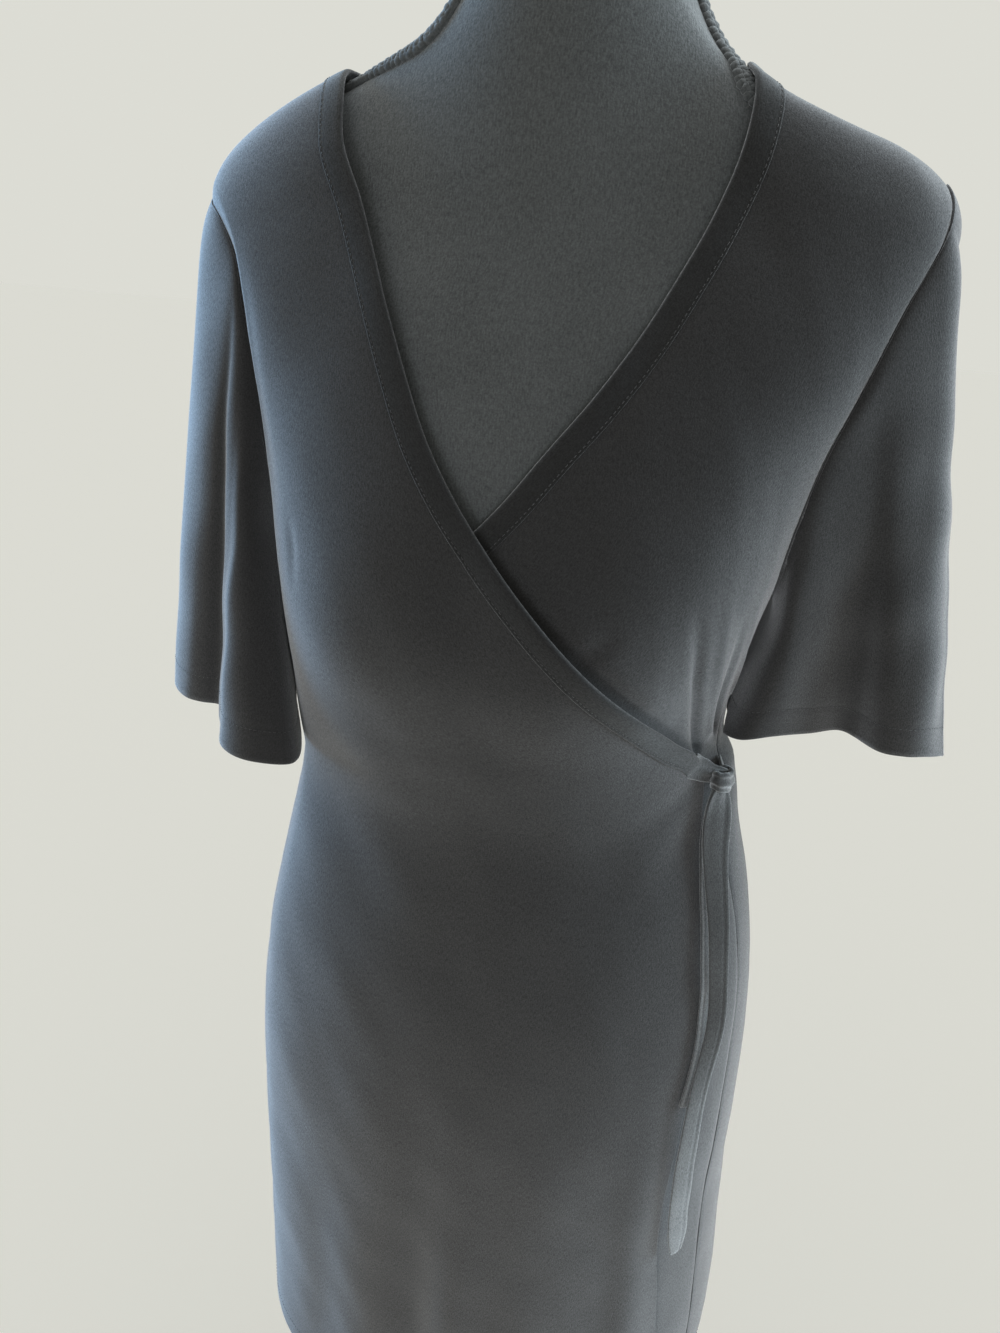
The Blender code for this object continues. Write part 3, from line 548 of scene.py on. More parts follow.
def cloth_shell(
    name: str, outer: np.ndarray, wall: np.ndarray | float, finish: bpy.types.Material, closed: bool = False,
) -> bpy.types.Object:
    """A closed thin shell from a grid of outer points: inner = outer - wall * normal, with rounded rims.

    Args:
        name: the piece's name.
        outer: (rows, columns, 3) outer face, rows down and columns to the wearer's left at the front.
        wall: thickness, one value or one for each point.
        finish: its material.
        closed: whether the columns join up into rings.

    Returns:
        The new object.
    """
    rows, columns = outer.shape[:2]
    wall = np.broadcast_to(wall, (rows, columns))[..., None]
    inner = outer - wall * grid_normal(outer, closed)
    middle = (outer + inner) / 2
    down, across = run_along(outer, 0), run_along(outer, 1)
    chart = np.stack([across - across[:, -1:] / 2, down], axis=-1)
    index = np.arange(rows * columns).reshape(rows, columns)
    count = rows * columns
    faces = [quads(index, closed), quads(index + count, closed)[:, ::-1]]
    points, charts = [outer.reshape(-1, 3), inner.reshape(-1, 3)], [chart.reshape(-1, 2)] * 2
    rims = [(index[0], middle[0], middle[1]), (index[-1][::-1], middle[-1][::-1], middle[-2][::-1])]
    if not closed:
        rims += [
            (index[:, 0][::-1], middle[:, 0][::-1], middle[:, 1][::-1]),
            (index[:, -1], middle[:, -1], middle[:, -2]),
        ]
    bulge = np.zeros((count, 3))
    for edge, rim, beside in rims:
        np.add.at(bulge, edge, unit(rim - beside) * wall.reshape(-1, 1)[edge] * RIM_BULGE)
    on_rim = np.unique(np.concatenate([edge for edge, _, _ in rims]))
    number = np.zeros(count, int)
    number[on_rim] = 2 * count + np.arange(len(on_rim))
    points.append((middle.reshape(-1, 3) + bulge)[on_rim])
    charts.append(chart.reshape(-1, 2)[on_rim])
    for edge, _, _ in rims:
        faces.append(quads(np.stack([edge + count, number[edge], edge]), closed))
    return make_object(name, np.concatenate(points), np.concatenate(faces), np.concatenate(charts), finish)


def tube(name: str, rings: np.ndarray, finish: bpy.types.Material) -> bpy.types.Object:
    """Rings of points joined into a closed solid with a fan at each end.

    Args:
        name: the piece's name.
        rings: (rings, around, 3); seen from outside, rings go down as the points go right.
        finish: its material.

    Returns:
        The new object.
    """
    rows, columns = rings.shape[:2]
    index = np.arange(rows * columns).reshape(rows, columns)
    beside = np.roll(index, -1, axis=1)
    middle = np.full(columns, rows * columns)
    fans = [
        np.stack([middle, index[0], beside[0], beside[0]], axis=1),
        np.stack([middle + 1, beside[-1], index[-1], index[-1]], axis=1),
    ]
    points = np.concatenate([rings.reshape(-1, 3), rings[:1].mean(axis=1), rings[-1:].mean(axis=1)])
    down, across = run_along(rings, 0), run_along(rings, 1)
    chart = np.stack([across - across[:, -1:] / 2, down], axis=-1).reshape(-1, 2)
    chart = np.concatenate([chart, [[0, 0], [0, down[-1].mean()]]])
    return make_object(name, points, np.concatenate([quads(index, wrap=True), *fans]), chart, finish)


# ---------------------------------------------------------------- finishes
Inputs = dict[str | int, float | tuple[float, ...] | bpy.types.NodeSocket]


class NodeTree:
    """A new node material, written a node at a time."""

    def __init__(self, name: str) -> None:
        """Makes the material and finds its shader.

        Args:
            name: the material's name.
        """
        self.material = bpy.data.materials.new(name)
        self.material.use_nodes = True
        self.nodes, self.links = self.material.node_tree.nodes, self.material.node_tree.links
        self.shader = self.nodes["Principled BSDF"]

    def put(self, node: bpy.types.Node, inputs: Inputs) -> bpy.types.Node:
        """Fills a node's inputs, each with a value of its own or from another node's output.

        Args:
            node: the node.
            inputs: what goes into each input.

        Returns:
            The same node.
        """
        for socket, source in inputs.items():
            if isinstance(source, bpy.types.NodeSocket):
                self.links.new(source, node.inputs[socket])
            else:
                node.inputs[socket].default_value = source
        return node

    def add(self, kind: str, inputs: Inputs) -> bpy.types.Node:
        """A new node with its inputs filled."""
        return self.put(self.nodes.new(kind), inputs)

    def ramp(self, share: bpy.types.NodeSocket, low: float, dark: Colour, high: float, light: Colour) -> None:
        """Colours the shader from dark to light as a share rises from low to high.

        Args:
            share: the output that colours it.
            low: the share up to which it is dark.
            dark: the colour there.
            high: the share from which it is light.
            light: the colour there.
        """
        made = self.add("ShaderNodeValToRGB", {"Fac": share})
        for element, place, colour in zip(made.color_ramp.elements, (low, high), (dark, light)):
            element.position, element.color = place, (*colour, 1.0)
        self.put(self.shader, {"Base Color": made.outputs["Color"]})

    def bumped(self, height: bpy.types.NodeSocket, strength: float, distance: float) -> None:
        """Bends the shader's normal by a height."""
        bump = self.add("ShaderNodeBump", {"Strength": strength, "Distance": distance, "Height": height})
        self.put(self.shader, {"Normal": bump.outputs["Normal"]})


@dataclass(frozen=True)
class ClothFinish:
    """A matt cloth: dark grain, soft mottling, a cool fuzz at the edges and a fine bump."""

    name: str
    dark: Colour
    light: Colour
    roughness: float
    sheen: float
    sheen_roughness: float
    sheen_tint: Colour
    grain_length: float
    grain_depth: float
    rib_length: float
    rib_share: float = 0.4
    rib_stretch: float = 0.22
    mottle_scale: float = 22.0
    mottle: float = 0.35
    fuzz_range: float = 0.38
    specular: float = 0.18
    dark_below: float = 0.42
    light_above: float = 0.95
    bump: float = 0.55

    def material(self) -> bpy.types.Material:
        """The finish as a node material on Object coordinates, with ribs along the piece's own UV map.

        Returns:
            The new material.
        """
        tree = NodeTree(self.name)
        tree.put(tree.shader, {
            "Roughness": self.roughness, "Specular IOR Level": self.specular,
            "Sheen Roughness": self.sheen_roughness, "Sheen Tint": (*self.sheen_tint, 1.0),
        })
        where = tree.add("ShaderNodeTexCoord", {})
        grain = tree.add("ShaderNodeTexNoise", {
            "Scale": 1 / self.grain_length, "Detail": 2.0, "Roughness": 0.6, "Vector": where.outputs["Object"],
        })
        stretch = tree.add("ShaderNodeMapping", {
            "Scale": (1 / self.rib_length, self.rib_stretch / self.rib_length, 1.0), "Vector": where.outputs["UV"],
        })
        rib = tree.add("ShaderNodeTexNoise", {"Scale": 1.0, "Detail": 1.0, "Vector": stretch.outputs["Vector"]})
        both = tree.add("ShaderNodeMix", {
            "Factor": self.rib_share, "A": grain.outputs["Fac"], "B": rib.outputs["Fac"],
        })
        cloud = tree.add("ShaderNodeTexNoise", {
            "Scale": self.mottle_scale, "Detail": 3.0, "Vector": where.outputs["Object"],
        })
        tone = tree.nodes.new("ShaderNodeMath")
        tone.operation = "MULTIPLY_ADD"
        tree.put(tone, {0: cloud.outputs["Fac"], 1: self.mottle, 2: both.outputs["Result"]})
        tree.ramp(tone.outputs["Value"], self.dark_below, self.dark, self.light_above, self.light)
        fuzz = tree.add("ShaderNodeMapRange", {
            "From Min": 0.35, "From Max": 0.65, "To Min": (1 - self.fuzz_range) * self.sheen,
            "To Max": (1 + self.fuzz_range) * self.sheen, "Value": both.outputs["Result"],
        })
        tree.put(tree.shader, {"Sheen Weight": fuzz.outputs["Result"]})
        tree.bumped(both.outputs["Result"], self.bump, self.grain_depth)
        return tree.material


@dataclass(frozen=True)
class PaintFinish:
    """Satin stove paint on steel, with a faint orange peel and duller scuffs."""

    name: str = "satin_black_paint"
    colour: Colour = (0.018, 0.018, 0.019)
    worn: Colour = (0.035, 0.034, 0.033)
    glossy: float = 0.32
    dull: float = 0.52
    peel: float = 0.004
    peel_depth: float = 0.0004
    specular: float = 0.45
    dark_below: float = 0.45
    worn_above: float = 0.8
    bump: float = 0.15

    def material(self) -> bpy.types.Material:
        """The finish as a node material on Object coordinates.

        Returns:
            The new material.
        """
        tree = NodeTree(self.name)
        tree.put(tree.shader, {"Specular IOR Level": self.specular})
        where = tree.add("ShaderNodeTexCoord", {}).outputs["Object"]
        scuff = tree.add("ShaderNodeTexNoise", {"Scale": 14.0, "Detail": 6.0, "Roughness": 0.65, "Vector": where})
        peel = tree.add("ShaderNodeTexNoise", {"Scale": 1 / self.peel, "Vector": where})
        tree.ramp(scuff.outputs["Fac"], self.dark_below, self.colour, self.worn_above, self.worn)
        gloss = tree.add("ShaderNodeMapRange", {
            "To Min": self.glossy, "To Max": self.dull, "Value": scuff.outputs["Fac"],
        })
        tree.put(tree.shader, {"Roughness": gloss.outputs["Result"]})
        tree.bumped(peel.outputs["Fac"], self.bump, self.peel_depth)
        return tree.material


CREPE = ClothFinish(
    "black_crepe", (0.0020, 0.0018, 0.0018), (0.0062, 0.0056, 0.0056),
    0.85, 0.37, 0.56, (0.965, 0.97, 1.0), 0.0008, 0.00035, 0.0006,
)
# Painted shade: a darker copy of the crepe with a weaker sheen, for the neck bands; it darkens them and dims the
# light rims along their rolled edges.
PAINTED_SHADE_BAND_CREPE = ClothFinish(
    "black_crepe_folded_painted_shade", (0.0020, 0.0018, 0.0018), (0.0058, 0.0054, 0.0054),
    0.9, 0.30, 0.54, (0.95, 0.975, 1.0), 0.0008, 0.00030, 0.0006,
)
# Painted light: the ties and the knot get a brighter copy of the crepe with a stronger sheen, standing in for the
# extra light that they catch.
PAINTED_LIGHT_TIE_CREPE = replace(PAINTED_SHADE_BAND_CREPE, name="black_crepe_ties_painted_light", roughness=0.85, sheen=0.62, sheen_roughness=0.56)
JERSEY = ClothFinish(
    "charcoal_jersey", (0.020, 0.0215, 0.022), (0.054, 0.057, 0.058),
    0.88, 0.30, 0.60, (0.95, 0.98, 1.0), 0.0010, 0.0005, 0.0008,
)
THREAD = ClothFinish(
    "black_thread", (0.012, 0.012, 0.013), (0.036, 0.036, 0.038),
    0.60, 0.30, 0.5, (1.0, 1.0, 1.0), 0.0003, 0.0001, 0.0003,
)


# ---------------------------------------------------------------- the dress
@dataclass(frozen=True)
class Cut:
    """The cut edges of the dress as places on the body, and the coarse grids between them."""

    underarm: float = 1.218
    seam_gap: float = 0.0004
    band_width: float = 0.013
    right_band_drop: float = 0.0046
    left_band_drop: float = 0.0068
    overlap_rise: float = 0.0045
    right_front_armhole: Rows = (
        (0.0, 1.409), (-8.0, 1.403), (-14.5, 1.394), (-18.5, 1.376), (-21.0, 1.345),
        (-21.0, 1.300), (-18.5, 1.262), (-13.5, 1.233), (-6.0, 1.218),
    )
    left_front_armhole: Rows = (
        (0.0, 1.431), (-4.5, 1.423), (-8.0, 1.405), (-12.0, 1.376), (-15.0, 1.340),
        (-16.3, 1.300), (-15.5, 1.262), (-11.8, 1.232), (-6.0, 1.218),
    )
    right_back_armhole: Rows = (
        (0.0, 1.409), (8.0, 1.398), (13.5, 1.378), (16.5, 1.343),
        (16.0, 1.290), (11.0, 1.245), (2.5, 1.222), (-6.0, 1.218),
    )
    left_back_armhole: Rows = (
        (0.0, 1.431), (6.0, 1.419), (12.0, 1.391), (16.2, 1.349),
        (16.0, 1.292), (11.0, 1.245), (2.5, 1.222), (-6.0, 1.218),
    )
    side_seam: Rows = (
        (-6.0, 1.218), (-9.0, 1.150), (-12.0, 1.060), (-11.0, 0.960),
        (-14.5, 0.850), (-15.0, 0.740), (-14.0, 0.600), (-13.0, 0.497),
    )
    back_neckline: Rows = (
        (0.0, 1.475), (22.0, 1.477), (45.0, 1.468), (68.0, 1.457), (90.0, 1.451),
        (112.0, 1.454), (135.0, 1.462), (158.0, 1.469), (180.0, 1.466),
    )
    crossing_edge: Rows = (
        (-180.0, 1.466), (-164.0, 1.4665), (-157.5, 1.461), (-154.0, 1.451), (-149.5, 1.437), (-143.0, 1.419),
        (-121.0, 1.355), (-100.0, 1.291), (-79.5, 1.241), (-55.0, 1.182), (-38.0, 1.150), (-22.4, 1.119),
    )
    lower_crossing_edge: Rows = (
        (-180.0, 1.475), (-165.0, 1.476), (-156.7, 1.468), (-154.0, 1.457), (-150.4, 1.441), (-145.0, 1.4162),
        (-135.2, 1.3835), (-125.0, 1.3535), (-118.0, 1.335), (-105.0, 1.303), (-91.5, 1.267), (-75.0, 1.230),
        (-55.0, 1.184), (-38.0, 1.150), (-22.4, 1.119),
    )
    skirt_edge: Rows = (
        (-22.4, 1.119), (-21.0, 1.060), (-22.5, 0.975), (-28.0, 0.880),
        (-30.5, 0.800), (-28.0, 0.660), (-24.0, 0.497),
    )
    armhole_rows: int = 9
    waist_rows: int = 7
    skirt_rows: int = 13
    waist_height: float = 1.075
    front_columns: int = 18
    shoulder_columns: int = 5
    neck_columns: int = 14
    neck_crowding: float = 0.08
    edge_crowding: float = 1.25
    rounds: int = 320
    body_radius: float = 0.15

    def follow(self, table: Rows, at: np.ndarray) -> np.ndarray:
        """Places at shares of the way along a table of (angle, height).

        Args:
            table: the places to go through.
            at: shares, 0 to 1.

        Returns:
            (angle, height) for each share.
        """
        rows = np.array(table)
        run = np.hypot(np.diff(np.radians(rows[:, 0])) * self.body_radius, np.diff(rows[:, 1]))
        along = np.concatenate([[0], np.cumsum(run)]) / run.sum()
        return np.stack([through(along, rows[:, k], np.asarray(at)) for k in (0, 1)], axis=-1)

    def crowded(self, count: int) -> np.ndarray:
        """Shares 0 to 1 that start with short steps: (k / count)^edge_crowding."""
        return np.linspace(0, 1, count + 1) ** self.edge_crowding

    @staticmethod
    def mirrored(places: np.ndarray) -> np.ndarray:
        """The same places on the other half of the body: angle to -180 - angle."""
        return np.stack([-180 - places[..., 0], places[..., 1]], axis=-1)

    def seam_side(self, armhole: Rows, into: int) -> np.ndarray:
        """A panel's armhole and side seam as one column of places, a hair inside the panel.

        Args:
            armhole: the armhole's half, as places on the wearer's left.
            into: 1 where the panel lies at rising angles from the seam, -1 where it lies at falling ones.

        Returns:
            (rows, 2) places from the shoulder to the hem.
        """
        hole = self.follow(armhole, self.crowded(self.armhole_rows))
        upper = np.linspace(self.underarm, self.waist_height, self.waist_rows + 1)[1:]
        lower = np.linspace(self.waist_height, BODY.hem_height, self.skirt_rows + 1)[1:]
        table, heights = np.array(self.side_seam)[::-1], np.concatenate([upper, lower])
        seam = np.stack([through(table[:, 1], table[:, 0], heights), heights], axis=-1)
        column = np.concatenate([hole, seam])
        inside = into * math.degrees(self.seam_gap / 2 / self.body_radius)
        column[self.armhole_rows:, 0] += inside
        column[0, 0] += inside
        return column

    @staticmethod
    def inside_edge(edge: np.ndarray, width: float) -> np.ndarray:
        """Surface points a width from an edge: edge - width * (normal x tangent), put back on the surface."""
        return BODY.onto(edge - width * np.cross(BODY.normal(edge), unit(np.gradient(edge, axis=0))))

    def settled(self, top: np.ndarray, hem: np.ndarray, left: np.ndarray, right: np.ndarray,
                hollow: bool) -> np.ndarray:
        """Surface points between four edges of places, evened out by moving each to its neighbours' mean.

        Args:
            top: places of the first row.
            hem: places of the last row.
            left: places of the first column.
            right: places of the last column.
            hollow: weigh the direction with the shorter steps more and take off the
                twist, which keeps the grid from folding over beside a hollow edge.

        Returns:
            A (rows, columns, 3) grid on the surface.
        """
        t = np.linspace(0, 1, len(left))[:, None, None]
        s = np.linspace(0, 1, len(top))[None, :, None]
        corners = (1 - t) * ((1 - s) * top[0] + s * top[-1]) + t * ((1 - s) * hem[0] + s * hem[-1])
        blend = (1 - t) * top[None] + t * hem[None] + (1 - s) * left[:, None] + s * right[:, None]
        points = BODY.place(blend - corners)
        for _ in range(self.rounds):
            across = (points[1:-1, 2:] - points[1:-1, :-2]) / 2
            down = (points[2:, 1:-1] - points[:-2, 1:-1]) / 2
            twist = (points[2:, 2:] - points[2:, :-2] - points[:-2, 2:] + points[:-2, :-2]) / 4
            a, b, c = 1.0, 0.0, 1.0
            if hollow:
                a = (down**2).sum(axis=-1, keepdims=True)
                b = (across * down).sum(axis=-1, keepdims=True)
                c = (across**2).sum(axis=-1, keepdims=True)
            level = a * (points[1:-1, 2:] + points[1:-1, :-2]) + c * (points[2:, 1:-1] + points[:-2, 1:-1])
            level = (level - 2 * b * twist) / (2 * (a + c))
            points[1:-1, 1:-1] = BODY.onto((points[1:-1, 1:-1] + level) / 2, 1)
        points[1:-1, 1:-1] = BODY.onto(points[1:-1, 1:-1])
        return points

    def front(self, armhole: Rows, crossing_edge: Rows, band_drop: float) -> np.ndarray:
        """A front's coarse grid as the upper one, its columns from the side seam to the free edge.

        Args:
            armhole: the armhole's front half, as places on the wearer's left.
            crossing_edge: the free edge from the neck to the waist.
            band_drop: height from that edge to the band's stitching on the shoulder seam.

        Returns:
            A (rows, columns, 3) grid on the surface.
        """
        seam = self.mirrored(self.seam_side(armhole, -1))
        crossing = self.follow(crossing_edge, self.crowded(self.armhole_rows + self.waist_rows))
        skirt = self.follow(self.skirt_edge, np.linspace(0, 1, self.skirt_rows + 1))
        places = np.concatenate([crossing, skirt[1:]])
        places[0, 0] = seam[0, 0]
        edge = BODY.place(places)
        stitched = self.inside_edge(edge, self.band_width)
        angle = -np.degrees(np.arctan2(-stitched[:, 1], stitched[:, 0]))
        inner = np.stack([angle, stitched[:, 2]], axis=-1)
        inner[0] = (seam[0, 0], crossing_edge[0][1] - band_drop)
        inner[-1, 1] = BODY.hem_height
        share = np.linspace(0, 1, self.front_columns)[:, None]
        shoulder = seam[0] + (inner[0] - seam[0]) * share
        hem = seam[-1] + (inner[-1] - seam[-1]) * share
        panel = self.settled(shoulder, hem, seam, inner, hollow=True)
        return np.concatenate([panel, edge[:, None]], axis=1)

    def other_front(self, points: np.ndarray) -> np.ndarray:
        """The lower front's coarse grid: the upper one's places on the other half, columns reversed.

        Args:
            points: a grid on the surface, as front gives it.

        Returns:
            A grid of the same shape.
        """
        angle = np.degrees(np.arctan2(points[..., 1], points[..., 0]))
        angle = np.where(angle > 90, angle - 360, angle)
        return BODY.place(self.mirrored(np.stack([angle, points[..., 2]], axis=-1))[:, ::-1])

    def back(self) -> np.ndarray:
        """The back's coarse grid: columns from the left side seam to the right one.

        Returns:
            A (rows, columns, 3) grid on the surface.
        """
        left = self.seam_side(self.left_back_armhole, 1)
        right = self.mirrored(self.seam_side(self.right_back_armhole, 1)) + np.array([360.0, 0.0])
        share = np.linspace(0, 1, self.shoulder_columns + 1)[:, None]
        shoulder = left[0] + (np.array([left[0, 0], self.back_neckline[0][1]]) - left[0]) * share
        other = right[0] + (np.array([right[0, 0], self.back_neckline[-1][1]]) - right[0]) * share[::-1]
        at = np.linspace(0, 1, self.neck_columns + 1)
        neckline = self.follow(self.back_neckline, at - self.neck_crowding * np.sin(2 * math.pi * at))
        top = np.concatenate([shoulder, neckline[1:-1], other])
        hem = left[-1] + (right[-1] - left[-1]) * np.linspace(0, 1, len(top))[:, None]
        return self.settled(top, hem, left, right, hollow=False)


CUT = Cut()


class Edge(Enum):
    """How one side of a panel ends."""

    SEAM = "sewn to the next piece and rolling into the seam"
    TURNED = "folded under"


@dataclass(frozen=True)
class Panel:
    """One cut of the dress: a coarse grid on the surface, refined, creased and given its wall."""

    name: str
    node: str
    coarse: np.ndarray
    rows: np.ndarray
    columns: np.ndarray
    left: Edge
    right: Edge
    creases: tuple[Crease, ...]
    seed: int
    overlap: float = 0.0
    wall: float = 0.0009
    turned_wall: float = 0.0016
    hem_turn: float = 0.022
    edge_turn: float = 0.012
    seam_roll: float = 0.0004
    seam_reach: float = 0.0016
    turn_step: float = 0.002
    lapped: tuple[float, float] = (4.0, 2.5)
    uneven: Rows = ((0.12, 0.0006), (0.035, 0.00012))

    def surface(self, rows: np.ndarray, columns: np.ndarray) -> np.ndarray:
        """The panel's outer face at fractional rows and columns of its coarse grid.

        Args:
            rows: indices down from the shoulder.
            columns: indices across.

        Returns:
            A grid of points.
        """
        points = BODY.onto(refined(self.coarse, rows, columns))
        over = self.overlap * smooth_step(rows / self.lapped[0])[:, None]
        over = over * smooth_step(columns / self.lapped[1])[None]
        uneven = wander(points, self.seed, *self.uneven[0]) + wander(points, self.seed + 1, *self.uneven[1])
        return BODY.hung(points, over + uneven + BODY.crease_rise(points, self.creases))

    def build(self, finish: bpy.types.Material) -> bpy.types.Object:
        """The panel as a closed thin shell whose seams roll in and whose edges are doubled.

        Args:
            finish: its material.

        Returns:
            The new object.
        """
        outer = self.surface(self.rows, self.columns)
        down, across = run_along(outer, 0), run_along(outer, 1)
        from_right = across[:, -1:] - across
        hem = down[-1:] - down
        roll = np.exp(-((down / self.seam_reach) ** 2))
        turned = smooth_step((self.hem_turn - hem) / self.turn_step)
        for side, apart in ((self.left, across), (self.right, from_right)):
            if side is Edge.SEAM:
                roll = np.maximum(roll, np.exp(-((apart / self.seam_reach) ** 2)))
            else:
                turned = np.maximum(turned, smooth_step((self.edge_turn - apart) / self.turn_step))
        outer = outer - grid_normal(outer) * (self.seam_roll * roll)[..., None]
        wall = self.wall + (self.turned_wall - self.wall) * turned
        made = cloth_shell(self.name, outer, wall, finish)
        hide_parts(self.node)
        return made


@dataclass(frozen=True)
class Topstitch:
    """A row of lockstitches: small capsules that dip into the cloth at both ends."""

    length: float = 0.0017
    pitch: float = 0.0030
    radius: float = 0.00022
    arch: float = 0.00012
    sunk: float = 0.00006
    probe: float = 0.001
    rings: tuple[float, ...] = (-0.5, -0.38, 0.0, 0.38, 0.5)
    swells: tuple[float, ...] = (0.25, 0.85, 1.0, 0.85, 0.25)

    def build(self, name: str, line: np.ndarray, off: np.ndarray, finish: bpy.types.Material) -> bpy.types.Object:
        """Stitches at even steps along a line of points.

        Args:
            name: the piece's name.
            line: points along the row.
            off: directions off the cloth there.
            finish: the thread's material.

        Returns:
            The new object.
        """
        run = np.concatenate([[0], np.cumsum(np.linalg.norm(np.diff(line, axis=0), axis=1))])
        at = np.arange(self.pitch, run[-1] - self.pitch / 2, self.pitch)
        centre, near, far, up = (
            np.stack([np.interp(at + shift, run, source[:, k]) for k in range(3)], axis=1)
            for shift, source in ((0, line), (-self.probe, line), (self.probe, line), (0, off))
        )
        along, up = unit(far - near), unit(up)
        side = np.cross(up, along)
        lengthwise = np.array(self.rings) * self.length
        swell = np.array(self.swells) * self.radius
        height = self.arch * (1 - (lengthwise / lengthwise[-1]) ** 2) - self.sunk
        turn = np.arange(5) * 2 * math.pi / 5
        x = np.broadcast_to(lengthwise[:, None], (5, 5)).ravel()
        y = (swell[:, None] * np.cos(turn)).ravel()
        z = (swell[:, None] * np.sin(turn) + height[:, None]).ravel()
        points = (
            centre[:, None] + x[None, :, None] * along[:, None]
            + y[None, :, None] * side[:, None] + z[None, :, None] * up[:, None]
        )
        index = np.arange(25).reshape(5, 5)
        body = quads(index, wrap=True)
        caps = np.array([[0, 4, 3, 2], [0, 2, 1, 1], [20, 21, 22, 23], [20, 23, 24, 24]])
        one = np.concatenate([body[:, ::-1], caps[:, ::-1]])
        one = np.where((one[:, :1] == one[:, 1:2]), np.roll(one, -1, axis=1), one)
        faces = (one[None] + 25 * np.arange(len(at))[:, None, None]).reshape(-1, 4)
        chart = np.broadcast_to(np.stack([x, y], axis=1)[None], (len(at), 25, 2)).reshape(-1, 2)
        return make_object(name, points.reshape(-1, 3), faces, chart, finish)


@dataclass(frozen=True)
class NeckBand:
    """A strip folded over a neck edge: a puffed face, a stitched dip and a small ridge at its sewn edge."""

    width: float = 0.013
    wall: float = 0.00075
    stitch_inset: float = 0.0112
    stitch_out: float = 0.00074
    end_sunk: float = 0.0011
    end_reach: float = 0.07
    stations: int = 300
    back_stations: int = 150
    pinned_reach: float = 0.7
    profile: Rows = (
        # inset out, in millimetres from the free edge and from the panel's face
        (13.0, 0.30), (12.85, 0.52), (12.4, 0.74), (11.8, 0.72), (11.2, 0.58), (10.5, 0.72), (9.0, 0.90),
        (6.5, 1.00), (4.0, 1.00), (2.0, 0.92), (0.8, 0.72), (0.0, 0.30), (-0.34, -0.25), (-0.38, -0.80),
        (-0.15, -1.35), (0.7, -1.85), (2.2, -2.05), (6.0, -2.05), (10.0, -2.0), (12.4, -1.9),
    )

    def folded(self, base: np.ndarray) -> np.ndarray:
        """The strip's outer face round the edge.

        Args:
            base: (stations, insets, 3) panel points at the profile's insets, those
                past the free edge read at the edge itself.

        Returns:
            The points moved past the edge and off the panel.
        """
        table = np.array(self.profile) / 1000
        edge = int(np.argmin(np.abs(table[:, 0])))
        beyond = unit(base[:, edge] - base[:, edge - 2])
        past = np.maximum(-table[:, 0], 0)
        return base + beyond[:, None] * past[None, :, None] + BODY.normal(base) * table[None, :, 1:]

    def front(self, name: str, panel: Panel, nodes: tuple[str, ...], finish: bpy.types.Material,
              thread: bpy.types.Material, stitch: Topstitch, right: bool) -> list[bpy.types.Object]:
        """The band on a front's crossing edge, with its stitching.

        Args:
            name: the band's name.
            panel: the front that it edges.
            nodes: the CAD nodes that it stands for.
            finish: the cloth's material.
            thread: the stitching's material.
            stitch: the stitching.
            right: whether it edges the wearer's right front, whose free edge is its last column.

        Returns:
            The band and its stitches.
        """
        last = CUT.front_columns
        rows = np.linspace(0, CUT.armhole_rows + CUT.waist_rows, self.stations)
        inset = np.maximum(np.array(self.profile)[:, 0] / 1000, 0) / self.width
        order = np.argsort(inset if not right else -inset, kind="stable")
        columns = last - inset if right else inset
        grid = panel.surface(rows, columns[order])
        base = np.empty_like(grid)
        base[:, order] = grid
        sunk = self.end_sunk * np.exp(-(((rows[-1] - rows) / self.end_reach) ** 2))
        strip = self.folded(base - BODY.normal(base) * sunk[:, None, None])
        band = cloth_shell(name, strip if right else strip[:, ::-1], self.wall, finish)
        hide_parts(*nodes)
        share = self.stitch_inset / self.width
        line = panel.surface(rows, np.array([last - share if right else share]))[:, 0]
        off = BODY.normal(line)
        seam = stitch.build(name + "_stitches", line + off * self.stitch_out, off, thread)
        return [band, seam]

    def back(self, name: str, panel: Panel, ends: np.ndarray, finish: bpy.types.Material,
             thread: bpy.types.Material, stitch: Topstitch) -> list[bpy.types.Object]:
        """The band round the back neck, with its stitching.

        Args:
            name: the band's name.
            panel: the back.
            ends: the two points on the shoulder seams where the fronts' stitching starts.
            finish: the cloth's material.
            thread: the stitching's material.
            stitch: the stitching.

        Returns:
            The band and its stitches.
        """
        first = CUT.shoulder_columns
        at = np.linspace(first, first + CUT.neck_columns, self.back_stations)
        edge = BODY.onto(refined(panel.coarse, np.array([0.0]), at))[0]
        sewn = CUT.inside_edge(edge, self.width)
        from_end = np.minimum(at - first, first + CUT.neck_columns - at)
        fade = np.exp(-((from_end / self.pinned_reach) ** 2))[:, None]
        target = np.where((at < first + CUT.neck_columns / 2)[:, None], ends[0], ends[1])
        pin = target - sewn[np.repeat([0, -1], self.back_stations // 2)]
        sewn = BODY.onto(sewn + pin * fade)
        inset = np.maximum(np.array(self.profile)[:, 0] / 1000, 0) / self.width
        across = edge[:, None] + (sewn - edge)[:, None] * inset[None, :, None]
        base = BODY.hung(BODY.onto(across), wander(across, panel.seed, *panel.uneven[0]))
        strip = self.folded(base).transpose(1, 0, 2)[::-1]
        band = cloth_shell(name, strip, self.wall, finish)
        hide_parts("neck_band_back")
        line = BODY.hung(BODY.onto(edge + (sewn - edge) * self.stitch_inset / self.width))
        off = BODY.normal(line)
        return [band, stitch.build(name + "_stitches", line + off * self.stitch_out, off, thread)]


